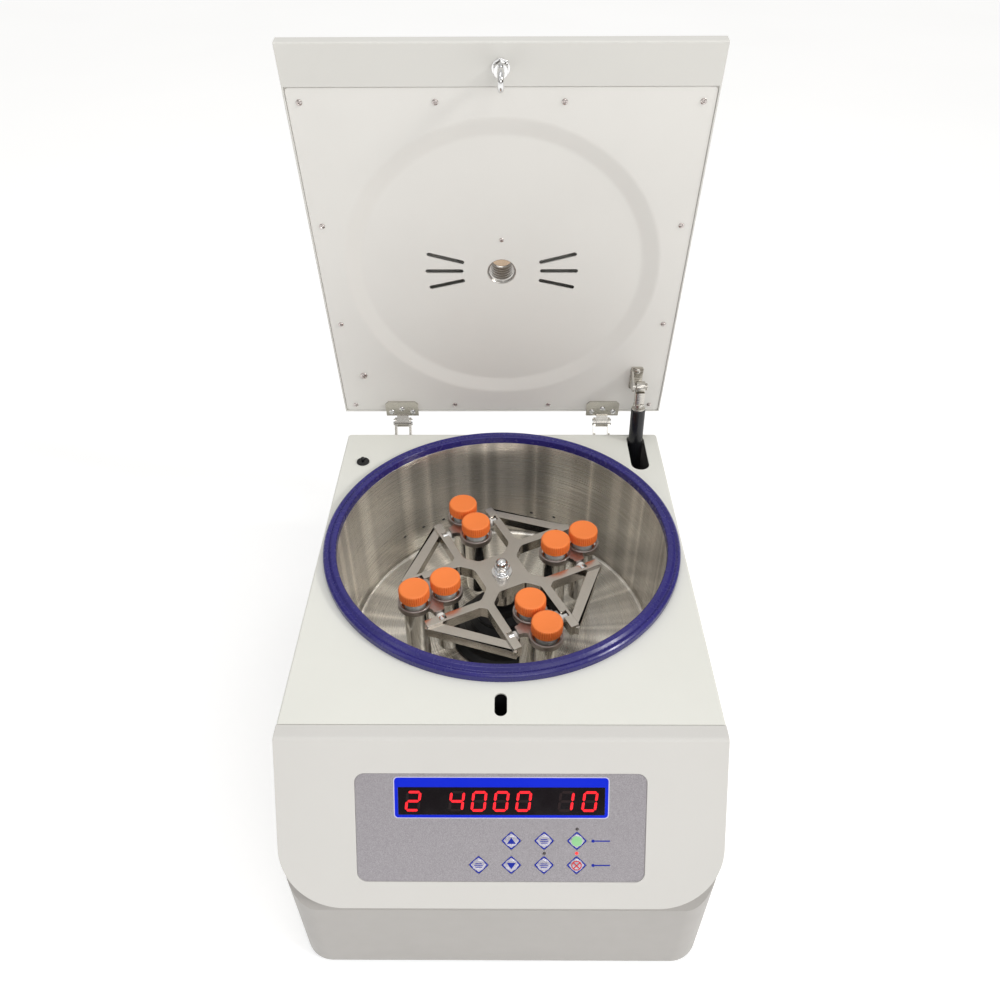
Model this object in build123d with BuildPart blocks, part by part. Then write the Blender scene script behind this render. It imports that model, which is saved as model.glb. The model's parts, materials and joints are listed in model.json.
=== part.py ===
from build123d import *
import math
import os

os.makedirs("parts", exist_ok=True)

# ------------------------------------------------------------------ driving dimensions, mm
# Frame: +Z up, front of the machine towards -Y, X = 0 on the machine's centre plane.
bowl_y = 39.35  # the bowl and rotor axis is the line x = 0, y = bowl_y
foot_h = 10.0  # rubber feet, from z = 0
body_w = 400.0
half_w = body_w / 2
deck_z = 279.3  # top of the deck
sheet_t = 2.0
deck_skirt = 14.0
rear_y = bowl_y + 202.6
seam_y = bowl_y - 241.6  # seam between the deck and the front fascia
bend_y = bowl_y - 256.4  # where the fascia turns from the deck level into its sloping face
lip_y = bowl_y - 339.7  # lower lip of the fascia
lip_z = foot_h + 128.5
base_front_y = bowl_y - 334.1
corner_r = 30.0  # front corners
rear_r = 4.0  # rear corners

face_a = math.atan2(bend_y - lip_y, deck_z - lip_z)  # slope of the face from the vertical
face_len = math.hypot(bend_y - lip_y, deck_z - lip_z)
fascia_t = 12.7

bowl_r = 181.0  # inside radius of the bowl
bowl_t = 1.2
floor_z = foot_h + 118.0  # top of the bowl floor
floor_r = 6.0  # its corner into the wall
gasket_ri, gasket_ro, gasket_h = 181.0, 195.4, 10.4

lid_open_deg = 80.5
hinge_y = bowl_y + 222.0
hinge_z = deck_z + 5.5
hinge_x = 130.0
panel_z = 5.5  # the lid panel's face above the hinge axis when the lid is shut
lid_half_w = 204.0
lid_rear = 14.5  # distances from the hinge axis along the lid
lid_band = 425.0
lid_front = 464.0
lid_top = 43.5
skirt_z = 4.5
port_u = 222.0
latch_u = 441.85  # the striker, over the latch slot when shut
latch_y = hinge_y - latch_u

strut_x = 171.0
strut_u, strut_n = 72.0, -12.5  # the strut's pin on the lid
strut_foot_y = bowl_y + 158.0
strut_foot_z = foot_h + 30.0

rotor_top = deck_z - 50.0
yoke_t = 14.0
pivot_r = 88.5  # radius of the trunnions
pivot_z = rotor_top - 5.3
trunnion_r = 4.0
prong_mid, prong_w = 34.6, 10.0
cup_pitch = 37.2
cup_ro, cup_ri = 13.75, 12.5
rim_r = 19.1
rim_top = rotor_top + 3.7
rim_h = 7.0
cup_bottom = pivot_z - 84.5
tube_r = 12.1
cap_r = 17.0
cap_top = rotor_top + 23.0
cap_h = 13.0
bucket_deg = (26.5, 116.5, 206.5, 296.5)
arm_deg = (71.5, 161.5, 251.5, 341.5)
shaft_r = 8.0

panel_half_w, panel_s0, panel_s1 = 129.2, 32.5, 137.1  # control panel on the face
panel_r = 9.0

# ------------------------------------------------------------------ planes
face = Plane(
    origin=(0, bend_y, deck_z),
    x_dir=(1, 0, 0),
    z_dir=(0, -math.cos(face_a), math.sin(face_a)),
)  # local y points up the face, so a point s down the face is y = -s
t = math.radians(lid_open_deg)
# the lid's own frame at rest: local -y runs from the hinge to the lid's free end,
# local z points out of the lid's top skin
lid = Plane(origin=(0, hinge_y, hinge_z), x_dir=(1, 0, 0), z_dir=(0, math.sin(t), math.cos(t)))
lid_side = Plane(
    origin=(0, hinge_y, hinge_z), x_dir=(0, math.cos(t), -math.sin(t)), z_dir=(1, 0, 0)
)  # a section through the lid: local x is the lid's y, local y is the lid's z
axis_floor = Plane(origin=(0, bowl_y, 0))
axis_section = Plane(origin=(0, bowl_y, 0), x_dir=(1, 0, 0), z_dir=(0, -1, 0))
bowl_axis = Axis((0, bowl_y, 0), (0, 0, 1))


def save(part, name):
    part.label = name
    export_step(part, f"parts/{name}.step")


# ------------------------------------------------------------------ casing
cut_plane = face.offset(-(fascia_t + 0.2))
inner_cut = face.offset(-(fascia_t + 0.2 + sheet_t))
case_top = deck_z - deck_skirt - 0.4

with BuildPart() as casing_void:
    with BuildSketch(Plane.XY.offset(foot_h - 1)) as s:
        with Locations((0, (rear_y + base_front_y) / 2)):
            Rectangle(body_w - 2 * sheet_t, rear_y - base_front_y - 2 * sheet_t)
        fillet(s.vertices().group_by(Axis.Y)[0], corner_r - sheet_t)
        fillet(s.vertices().group_by(Axis.Y)[-1], rear_r - sheet_t)
    extrude(amount=case_top - foot_h + 5)
    split(bisect_by=inner_cut, keep=Keep.BOTTOM)

with BuildPart() as cabinet:
    with BuildSketch(Plane.XY.offset(foot_h)) as s:
        with Locations((0, (rear_y + base_front_y) / 2)):
            Rectangle(body_w, rear_y - base_front_y)
        fillet(s.vertices().group_by(Axis.Y)[0], corner_r)
        fillet(s.vertices().group_by(Axis.Y)[-1], rear_r)
    extrude(amount=case_top - foot_h)
    split(bisect_by=cut_plane, keep=Keep.BOTTOM)
    add(casing_void.part, mode=Mode.SUBTRACT)
    # window for the electronics behind the fascia
    with BuildSketch(face.offset(-(fascia_t + 5))):
        with Locations((0, -85)):
            RectangleRounded(236, 88, 4)
    extrude(amount=8, mode=Mode.SUBTRACT)
    # rear: inlet module cut-out and two banks of vents
    with BuildSketch(Plane(origin=(0, rear_y + 1, 0), x_dir=(-1, 0, 0), z_dir=(0, 1, 0))):
        with Locations((120, 62)):
            Rectangle(28, 58)
        with GridLocations(11, 0, 12, 1):
            with Locations((0, 150)):
                SlotOverall(46, 4, rotation=90)
        with GridLocations(11, 0, 12, 1):
            with Locations((0, 80)):
                SlotOverall(46, 4, rotation=90)
    extrude(amount=-4, mode=Mode.SUBTRACT)
save(cabinet.part, "cabinet")

with BuildPart() as base_pan:
    with BuildSketch(Plane.XY.offset(foot_h)) as s:
        with Locations((0, (rear_y + base_front_y) / 2)):
            Rectangle(body_w - 2 * sheet_t - 0.4, rear_y - base_front_y - 2 * sheet_t - 0.4)
        fillet(s.vertices().group_by(Axis.Y)[0], corner_r - sheet_t)
        fillet(s.vertices().group_by(Axis.Y)[-1], rear_r - sheet_t)
    extrude(amount=sheet_t)
    with BuildSketch(Plane.XY.offset(foot_h)):
        with GridLocations(14, 0, 9, 1):
            with Locations((0, bowl_y + 150)):
                SlotOverall(50, 5, rotation=90)
    extrude(amount=sheet_t, mode=Mode.SUBTRACT)
save(base_pan.part, "base_pan")

with BuildPart() as feet:
    with BuildSketch(Plane.XY):
        with Locations((0, (rear_y + base_front_y) / 2)):
            with GridLocations(320, 430, 2, 2):
                Circle(13)
    extrude(amount=foot_h)
    chamfer(feet.edges().group_by(Axis.Z)[0], 1.5)
save(feet.part, "feet")

with BuildPart() as top_deck:
    with BuildSketch(Plane.XY.offset(deck_z - deck_skirt)) as s:
        with Locations((0, (rear_y + seam_y + 0.4) / 2)):
            Rectangle(body_w, rear_y - seam_y - 0.4)
        fillet(s.vertices().group_by(Axis.Y)[-1], rear_r)
    extrude(amount=deck_skirt)
    fillet(top_deck.edges().group_by(Axis.Z)[-1].sort_by(Axis.Y)[1:], 2.5)
    with BuildSketch(Plane.XY.offset(deck_z - deck_skirt)) as s:
        with Locations((0, (rear_y + seam_y + 0.4) / 2)):
            Rectangle(body_w - 2 * sheet_t, rear_y - seam_y - 0.4 - 2 * sheet_t)
        fillet(s.vertices().group_by(Axis.Y)[-1], rear_r - sheet_t)
    extrude(amount=deck_skirt - sheet_t, mode=Mode.SUBTRACT)
    with BuildSketch(Plane.XY.offset(deck_z - 4)):
        with Locations((0, bowl_y)):
            Circle(bowl_r + bowl_t + 0.8)
        with Locations((0, latch_y)):
            SlotOverall(25.1, 11.3, rotation=90)
        with Locations((-173, bowl_y + 142.5)):
            Circle(6.2)
        with Locations((strut_x, bowl_y + 163.5)):
            SlotOverall(73, 22, rotation=90)
    extrude(amount=6, mode=Mode.SUBTRACT)
save(top_deck.part, "top_deck")

# ------------------------------------------------------------------ front fascia and controls
with BuildPart() as front_fascia:
    with BuildSketch(Plane.YZ) as s:
        with BuildLine():
            Polyline(
                (seam_y, deck_z),
                (bend_y, deck_z),
                (lip_y, lip_z),
                (lip_y + fascia_t * math.cos(face_a), lip_z - fascia_t * math.sin(face_a)),
                (seam_y - (deck_z - case_top) * math.tan(face_a), case_top + 0.1),
                (seam_y, case_top + 0.1),
                close=True,
            )
        make_face()
    extrude(amount=half_w, both=True)
    # rounded lower corners, seen square on to the face
    with BuildSketch(face.offset(-fascia_t - 2)) as s:
        with Locations((0, -face_len / 2 + 60)):
            Rectangle(body_w, face_len + 120)
        fillet(s.vertices().group_by(Axis.Y)[0], 58)
    extrude(amount=fascia_t + 30, both=True, mode=Mode.INTERSECT)
    fillet(front_fascia.edges().filter_by(Axis.X).sort_by(Axis.Z)[-3:].sort_by(Axis.Y)[0], 5)
    # hollow from behind
    with BuildSketch(face.offset(-fascia_t)) as s:
        with Locations((0, -face_len / 2 - 3)):
            Rectangle(body_w - 6, face_len - 13)
        fillet(s.vertices().group_by(Axis.Y)[0], 54)
    extrude(amount=fascia_t - 3.2, mode=Mode.SUBTRACT)
    # panel recess and the window behind the panel
    with BuildSketch(face):
        with Locations((0, -(panel_s0 + panel_s1) / 2)):
            RectangleRounded(2 * panel_half_w, panel_s1 - panel_s0, panel_r)
    extrude(amount=-2.0, mode=Mode.SUBTRACT)
    with BuildSketch(face):
        with Locations((0, -(panel_s0 + panel_s1) / 2)):
            RectangleRounded(2 * panel_half_w - 14, panel_s1 - panel_s0 - 14, 6)
    extrude(amount=-6.0, mode=Mode.SUBTRACT)
save(front_fascia.part, "front_fascia")

win_c, win_w, win_h = (0.7, -58.8), 183.0, 26.4
key_r = 9.4
keys = {
    "key_up": (9.5, -96.9),
    "key_confirm": (38.8, -96.9),
    "key_start": (68.0, -96.9),
    "key_set": (-19.8, -120.6),
    "key_down": (9.5, -120.6),
    "key_rcf": (38.8, -120.6),
    "key_stop": (68.0, -120.6),
}
leds = [(68.1, -85.6), (39.0, -109.1), (68.0, -109.0)]
led_r = 1.4

with BuildPart() as control_panel:
    with BuildSketch(face.offset(-2.0)):
        with Locations((0, -(panel_s0 + panel_s1) / 2)):
            RectangleRounded(2 * panel_half_w - 0.6, panel_s1 - panel_s0 - 0.6, panel_r - 0.3)
        with Locations(win_c):
            Rectangle(win_w + 0.3, win_h + 0.3, mode=Mode.SUBTRACT)
        with Locations(*keys.values()):
            RegularPolygon(key_r, 4, rotation=0, mode=Mode.SUBTRACT)
        with Locations(*leds):
            Circle(led_r + 0.1, mode=Mode.SUBTRACT)
    extrude(amount=1.2)
save(control_panel.part, "control_panel")

with BuildPart() as display_window:
    with BuildSketch(face.offset(-2.0)):
        with Locations(win_c):
            Rectangle(win_w, win_h)
    extrude(amount=1.1)
save(display_window.part, "display_window")

# seven-segment digits: height 20 mm, slanted
SEG = {
    "0": "abcdef",
    "1": "bc",
    "2": "abged",
    "4": "fgbc",
}
dig_w, dig_h, seg_w, slant = 11.0, 19.6, 2.3, 0.12


def segment_points(k):
    """Corner points of one segment, centred on the digit, before the slant."""
    w, h, b = dig_w / 2, dig_h / 2, seg_w / 2
    g = 0.35
    hor = lambda y: [(-w + g + b, y - b), (-w + g, y), (-w + g + b, y + b), (w - g - b, y + b), (w - g, y), (w - g - b, y - b)]
    ver = lambda x, y0, y1: [(x - b, y0 + g + b), (x, y0 + g), (x + b, y0 + g + b), (x + b, y1 - g - b), (x, y1 - g), (x - b, y1 - g - b)]
    xs = w - b + 1.15
    pts = {
        "a": hor(h - b),
        "g": hor(0),
        "d": hor(-h + b),
        "f": ver(-w, 0, h - b),
        "b": ver(w, 0, h - b),
        "e": ver(-w, -h + b, 0),
        "c": ver(w, -h + b, 0),
    }[k]
    return [(x + slant * y, y) for x, y in pts]


digit_places = [("2", -77.6), ("4", -38.9), ("0", -19.2), ("0", 0.5), ("0", 20.4), ("1", 58.0), ("0", 79.0)]
with BuildPart() as display_digits:
    with BuildSketch(face.offset(-0.9)):
        for ch, cx in digit_places:
            for k in SEG[ch]:
                with Locations((cx, win_c[1] - 0.2)):
                    Polygon(*segment_points(k), align=None)
    extrude(amount=0.25)
save(display_digits.part, "display_digits")

for key_name, key_at in keys.items():
    with BuildPart() as key:
        with BuildSketch(face.offset(-2.0)):
            with Locations(key_at):
                RegularPolygon(key_r - 0.2, 4, rotation=0)
        extrude(amount=1.5)
        chamfer(key.faces().sort_by(Axis.Y)[0].edges(), 0.3)
    save(key.part, key_name)

with BuildPart() as indicator_leds:
    with BuildSketch(face.offset(-2.6)):
        with Locations(*leds):
            Circle(led_r)
    extrude(amount=1.9)
save(indicator_leds.part, "indicator_leds")

with BuildPart() as control_board:
    with BuildSketch(face.offset(-11.0)):
        with Locations((0, -85)):
            Rectangle(226, 80)
        with Locations((0, -85)):
            with GridLocations(214, 68, 2, 2):
                Circle(1.6, mode=Mode.SUBTRACT)
    extrude(amount=1.6)
    with BuildSketch(face.offset(-11.0)):
        with Locations((-60, -100), (60, -70)):
            Rectangle(24, 24)
        with Locations((0, -104)):
            Rectangle(40, 10)
    extrude(amount=-5)
    with BuildSketch(face.offset(-9.4)):
        with Locations(win_c):
            Rectangle(178, 22)
    extrude(amount=6)
save(control_board.part, "control_board")

# ------------------------------------------------------------------ chamber
with BuildPart() as bowl:
    with BuildSketch(axis_section) as s:
        with BuildLine():
            Polyline(
                (bowl_r, floor_z + floor_r),
                (bowl_r, deck_z + 1.2),
                (bowl_r + 10, deck_z + 1.2),
                (bowl_r + 10, deck_z),
                (bowl_r + bowl_t, deck_z),
                (bowl_r + bowl_t, floor_z + floor_r),
                close=True,
            )
        make_face()
    revolve(axis=bowl_axis)
    for a in (67.4, 77.4, 116.0, 125.5, 135.0):
        r = math.radians(a)
        with BuildSketch(
            Plane(
                origin=(bowl_r * math.cos(r) * 0.97, bowl_y + bowl_r * math.sin(r) * 0.97, foot_h + 156),
                x_dir=(-math.sin(r), math.cos(r), 0),
                z_dir=(math.cos(r), math.sin(r), 0),
            )
        ):
            Circle(2.3)
        extrude(amount=12, mode=Mode.SUBTRACT)
save(bowl.part, "bowl")

with BuildPart() as bowl_floor:
    with BuildSketch(axis_section) as s:
        with BuildLine():
            Line((30, floor_z), (bowl_r - floor_r, floor_z))
            CenterArc((bowl_r - floor_r, floor_z + floor_r), floor_r, -90, 90)
            Line((bowl_r, floor_z + floor_r), (bowl_r + bowl_t, floor_z + floor_r))
            CenterArc((bowl_r - floor_r, floor_z + floor_r), floor_r + bowl_t, 0, -90)
            Line((bowl_r - floor_r, floor_z - bowl_t), (30, floor_z - bowl_t))
            Line((30, floor_z - bowl_t), (30, floor_z))
        make_face()
    revolve(axis=bowl_axis)
save(bowl_floor.part, "bowl_floor")

with BuildPart() as bowl_gasket:
    gz = deck_z + gasket_h
    with BuildSketch(axis_section) as s:
        with BuildLine():
            Polyline(
                (gasket_ri, deck_z + 1.2),
                (bowl_r + 10.2, deck_z + 1.2),
                (bowl_r + 10.2, deck_z),
                (gasket_ro, deck_z),
                (gasket_ro, gz - 3.6),
                (gasket_ro - 1.6, gz - 1.4),
                (gasket_ro - 4.2, gz - 1.6),
                (gasket_ro - 5.6, gz - 3.0),
                (gasket_ro - 7.0, gz - 1.4),
                (gasket_ro - 9.6, gz),
                (gasket_ri + 2.0, gz),
                (gasket_ri, gz - 2.0),
                close=True,
            )
        make_face()
    revolve(axis=bowl_axis)
save(bowl_gasket.part, "bowl_gasket")

with BuildPart() as guard_ring:
    with BuildSketch(Plane(origin=(0, bowl_y, foot_h + 92))):
        Circle(190)
        Circle(186.5, mode=Mode.SUBTRACT)
    extrude(amount=160)
save(guard_ring.part, "guard_ring")

with BuildPart() as shaft_boot:
    with BuildSketch(axis_section) as s:
        with BuildLine():
            Polyline(
                (9.4, floor_z),
                (62, floor_z),
                (62, floor_z + 3),
                (53, floor_z + 6),
                (50, floor_z + 13),
                (52, floor_z + 16),
                (45, floor_z + 20),
                (47, floor_z + 24),
                (39, floor_z + 29),
                (41, floor_z + 33),
                (32, floor_z + 38),
                (33, floor_z + 42),
                (23, floor_z + 47),
                (22, floor_z + 55),
                (9.4, floor_z + 55),
                close=True,
            )
        make_face()
    revolve(axis=bowl_axis)
save(shaft_boot.part, "shaft_boot")

with BuildPart() as motor:
    with BuildSketch(Plane(origin=(0, bowl_y, foot_h + 6))):
        Circle(58)
    extrude(amount=100)
    with BuildSketch(Plane(origin=(0, bowl_y, foot_h + 56))):
        Circle(108)
    extrude(amount=8)
    with BuildSketch(Plane(origin=(0, bowl_y, foot_h + 66))):
        Circle(70)
        with PolarLocations(64, 24):
            Rectangle(7, 4, mode=Mode.SUBTRACT)
    extrude(amount=36)
    with BuildSketch(Plane(origin=(0, bowl_y, foot_h + 106))):
        Circle(24)
    extrude(amount=9)
    with BuildSketch(Plane(origin=(0, bowl_y, foot_h + 40))):
        Circle(shaft_r + 0.06)
    extrude(amount=80, mode=Mode.SUBTRACT)
save(motor.part, "motor")

with BuildPart() as motor_mounts:
    with BuildSketch(Plane(origin=(0, bowl_y, foot_h + sheet_t))):
        with PolarLocations(90, 3, start_angle=90):
            Circle(14)
    extrude(amount=54 - 0.05)
    with BuildSketch(Plane(origin=(0, bowl_y, foot_h + 20))):
        with PolarLocations(90, 3, start_angle=90):
            Circle(15)
            Circle(10.5, mode=Mode.SUBTRACT)
    extrude(amount=18, mode=Mode.SUBTRACT)
save(motor_mounts.part, "motor_mounts")

with BuildPart() as drive_module:
    with BuildSketch(Plane.XY.offset(foot_h + sheet_t)):
        with Locations((-70, bowl_y - 245)):
            Rectangle(170, 100)
    extrude(amount=12)
    with BuildSketch(Plane.XY.offset(foot_h + sheet_t + 12)):
        with Locations((-70, bowl_y - 245)):
            Rectangle(150, 84)
    extrude(amount=50)
    with BuildSketch(Plane.XY.offset(foot_h + sheet_t + 62)):
        with Locations((-70, bowl_y - 245)):
            with GridLocations(12, 0, 12, 1):
                Rectangle(3, 80)
    extrude(amount=18)
save(drive_module.part, "drive_module")

# ------------------------------------------------------------------ lid lock, lid switch, rear fittings
bolt_z = hinge_z - 21.5  # the middle of the striker's eye when the lid is shut
with BuildPart() as lid_lock:
    with BuildSketch(Plane.XY.offset(deck_z - 48)):
        with Locations((4, latch_y)):
            Rectangle(44, 33)
    extrude(amount=48 - sheet_t)
    with BuildSketch(Plane.XY.offset(deck_z - 44)):
        with Locations((0, latch_y)):
            Rectangle(15, 27)
    extrude(amount=44, mode=Mode.SUBTRACT)
    # solenoid, to the left of the catch
    with BuildSketch(Plane(origin=(-18, latch_y, bolt_z), x_dir=(0, 1, 0), z_dir=(-1, 0, 0))):
        Circle(13.2)
    extrude(amount=36)
    with BuildSketch(Plane(origin=(-52, latch_y, bolt_z), x_dir=(0, 1, 0), z_dir=(1, 0, 0))):
        Circle(3.25)
    extrude(amount=74, mode=Mode.SUBTRACT)
save(lid_lock.part, "lid_lock")

with BuildPart() as lock_bolt:
    with BuildSketch(Plane(origin=(-46, latch_y, bolt_z), x_dir=(0, 1, 0), z_dir=(1, 0, 0))):
        Circle(3.2)
    extrude(amount=37.5)
    chamfer(lock_bolt.edges().sort_by(Axis.X)[-1], 1.0)
save(lock_bolt.part, "lock_bolt")

sw_at = (-173, bowl_y + 142.5)
with BuildPart() as switch_grommet:
    with BuildSketch(Plane(origin=(sw_at[0], sw_at[1], deck_z))):
        Circle(7.8)
    extrude(amount=2.0)
    with BuildSketch(Plane(origin=(sw_at[0], sw_at[1], deck_z - 16))):
        Circle(6.0)
    extrude(amount=16)
    fillet(switch_grommet.edges().group_by(Axis.Z)[-1], 1.0)
    with BuildSketch(Plane(origin=(sw_at[0], sw_at[1], deck_z - 17))):
        Circle(3.35)
    extrude(amount=22, mode=Mode.SUBTRACT)
save(switch_grommet.part, "switch_grommet")

with BuildPart() as switch_plunger:
    with BuildSketch(Plane(origin=(sw_at[0], sw_at[1], deck_z - 15))):
        Circle(3.3)
    extrude(amount=15 + 1.2)
    with BuildSketch(Plane(origin=(sw_at[0], sw_at[1], deck_z + 1.2))):
        Circle(1.7)
    extrude(amount=3.0)
    with BuildSketch(Plane(origin=(sw_at[0], sw_at[1], deck_z + 3.4))):
        Circle(2.4)
    extrude(amount=3.8)
    fillet(switch_plunger.edges().group_by(Axis.Z)[-1], 1.5)
save(switch_plunger.part, "switch_plunger")

with BuildPart() as hinge_yokes:
    for sx in (-1, 1):
        with BuildSketch(Plane(origin=(sx * hinge_x, rear_y, 0), x_dir=(-1, 0, 0), z_dir=(0, 1, 0))):
            with Locations((0, deck_z - 31)):
                RectangleRounded(46, 32, 3)
        extrude(amount=2.5)
        for ex in (-9.4, 9.4):
            with BuildSketch(Plane(origin=(sx * hinge_x + ex, 0, 0), x_dir=(0, 1, 0), z_dir=(1, 0, 0))):
                with BuildLine():
                    Polyline(
                        (rear_y + 1, deck_z - 44),
                        (rear_y + 6, deck_z - 44),
                        (hinge_y + 5.7, hinge_z - 2.0),
                        (hinge_y - 3.9, hinge_z + 4.4),
                        (rear_y + 1, deck_z - 16),
                        close=True,
                    )
                make_face()
                with Locations((hinge_y, hinge_z)):
                    Circle(6.0)
            extrude(amount=1.25, both=True)
        with BuildSketch(Plane(origin=(sx * hinge_x - 12, 0, 0), x_dir=(0, 1, 0), z_dir=(1, 0, 0))):
            with Locations((hinge_y, hinge_z)):
                Circle(3.03)
        extrude(amount=24, mode=Mode.SUBTRACT)
save(hinge_yokes.part, "hinge_yokes")

with BuildPart() as hinge_pins:
    for sx in (-1, 1):
        with BuildSketch(Plane(origin=(sx * hinge_x - 12.2, 0, 0), x_dir=(0, 1, 0), z_dir=(1, 0, 0))):
            with Locations((hinge_y, hinge_z)):
                Circle(3.0)
        extrude(amount=24.4)
        for ex, d in ((-10.7, -1), (10.7, 1)):
            with BuildSketch(Plane(origin=(sx * hinge_x + ex, 0, 0), x_dir=(0, 1, 0), z_dir=(1, 0, 0))):
                with Locations((hinge_y, hinge_z)):
                    Circle(4.4)
            extrude(amount=1.8 * d)
save(hinge_pins.part, "hinge_pins")

with BuildPart() as strut_foot:
    with BuildSketch(Plane.XY.offset(foot_h + sheet_t)):
        with Locations((strut_x, strut_foot_y)):
            Rectangle(34, 46)
    extrude(amount=3)
    with BuildSketch(Plane.XY.offset(foot_h + sheet_t + 3)):
        with Locations((strut_x - 11, strut_foot_y), (strut_x + 11, strut_foot_y)):
            Rectangle(3, 40)
    extrude(amount=36)
save(strut_foot.part, "strut_foot")

inlet_x, inlet_z = -120.0, 62.0
with BuildPart() as power_inlet:
    back = Plane(origin=(inlet_x, rear_y, inlet_z), x_dir=(-1, 0, 0), z_dir=(0, 1, 0))
    with BuildSketch(back):
        RectangleRounded(34, 66, 3)
    extrude(amount=2.6)
    with BuildSketch(back):
        Rectangle(27.6, 57.6)
    extrude(amount=-28)
    with BuildSketch(back.offset(2.6)):
        with Locations((0, -14)):
            RectangleRounded(22.6, 16.2, 1.5)
    extrude(amount=-20, mode=Mode.SUBTRACT)
    with BuildSketch(back.offset(2.6)):
        with Locations((0, 15)):
            Rectangle(13.6, 20.6)
    extrude(amount=-14, mode=Mode.SUBTRACT)
    with BuildSketch(Plane(origin=(inlet_x - 8, rear_y - 3, inlet_z + 15), x_dir=(0, 1, 0), z_dir=(1, 0, 0))):
        Circle(1.56)
    extrude(amount=16, mode=Mode.SUBTRACT)
    with BuildSketch(back.offset(-17.5)):
        with Locations((-6.5, -11.0), (6.5, -11.0)):
            Rectangle(2, 4)
        with Locations((0, -15.2)):
            Rectangle(4, 2)
    extrude(amount=14)
save(power_inlet.part, "power_inlet")

with BuildPart() as power_switch:
    # rocker seen from the side: two faces meeting at a shallow V, tilted to its on position
    side = Plane(origin=(inlet_x - 6.6, 0, 0), x_dir=(0, 1, 0), z_dir=(1, 0, 0))
    py, pz = rear_y - 3.0, inlet_z + 15.0
    with BuildSketch(side):
        with BuildLine():
            pts = []
            for yy, zz in ((5.0, -9.2), (3.4, 0.0), (5.0, 9.2), (-1.0, 8.6), (-4.0, 0.0), (-1.0, -8.6)):
                r = math.radians(-7.0)
                pts.append((py + yy * math.cos(r) - zz * math.sin(r), pz + yy * math.sin(r) + zz * math.cos(r)))
            Polyline(*pts, close=True)
        make_face()
    extrude(amount=13.2)
    with BuildSketch(Plane(origin=(inlet_x - 7.6, py, pz), x_dir=(0, 1, 0), z_dir=(1, 0, 0))):
        Circle(1.5)
    extrude(amount=15.2)
save(power_switch.part, "power_switch")

with BuildPart() as cabinet_screws:
    back = Plane(origin=(0, rear_y, 0), x_dir=(-1, 0, 0), z_dir=(0, 1, 0))
    with BuildSketch(back.offset(2.5)):
        for sx in (-1, 1):
            with Locations((sx * hinge_x, deck_z - 31)):
                with GridLocations(34, 20, 2, 2):
                    Circle(3.2)
    extrude(amount=1.6)
    with BuildSketch(back):
        with Locations((0, foot_h + 18), (170, foot_h + 18), (-170, foot_h + 18)):
            Circle(3.6)
        with Locations((180, deck_z - 26), (-180, deck_z - 26), (0, deck_z - 26)):
            Circle(3.6)
    extrude(amount=1.8)
save(cabinet_screws.part, "cabinet_screws")

# ------------------------------------------------------------------ lid (at rest, standing open)
front_back = 26.0 * math.tan(face_a)
with BuildPart() as lid_shell:
    with BuildSketch(lid_side) as s:
        with BuildLine():
            Polyline(
                (-lid_rear, skirt_z),
                (-lid_rear, lid_top),
                (-lid_front + front_back, lid_top),
                (-lid_front, lid_top - 27),
                (-lid_front, skirt_z),
                close=True,
            )
        make_face()
    extrude(amount=lid_half_w, both=True)
    fillet(lid_shell.edges().filter_by(Axis.X).sort_by(Axis.Y)[-1], 10)
    fillet(lid_shell.edges().filter_by(Axis.X).sort_by(Axis.Z)[-2:], 1.6)
    # inner space above the return flange
    with BuildSketch(lid_side) as s:
        with BuildLine():
            Polyline(
                (-lid_rear - 1.6, 8.5),
                (-lid_rear - 1.6, lid_top - 10),
                (-lid_rear - 8, lid_top - 1.6),
                (-lid_front + front_back + 5, lid_top - 1.6),
                (-lid_front + 2.2, lid_top - 28),
                (-lid_front + 2.2, 8.5),
                close=True,
            )
        make_face()
    extrude(amount=lid_half_w - 1.6, both=True, mode=Mode.SUBTRACT)
    # recess for the panel, and the opening through the flange
    with BuildSketch(lid.offset(7.0)):
        with Locations((0, -(lid_band + lid_rear + 1.6) / 2)):
            Rectangle(2 * (lid_half_w - 1.8), lid_band - lid_rear - 1.6)
    extrude(amount=-4, mode=Mode.SUBTRACT)
    with BuildSketch(lid.offset(9)):
        with Locations((0, -(404 + 38) / 2)):
            Rectangle(364, 404 - 38)
    extrude(amount=-4, mode=Mode.SUBTRACT)
    # notches in the rear wall for the hinge leaves
    with BuildSketch(lid.offset(panel_z + 0.1)):
        with Locations((-hinge_x, -lid_rear - 1), (hinge_x, -lid_rear - 1)):
            Rectangle(43, 6)
    extrude(amount=-3, mode=Mode.SUBTRACT)
    # hole for the sight port
    with BuildSketch(lid.offset(lid_top - 4)):
        with Locations((0, -port_u)):
            Circle(16.0)
    extrude(amount=8, mode=Mode.SUBTRACT)
save(lid_shell.part, "lid_shell")

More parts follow.
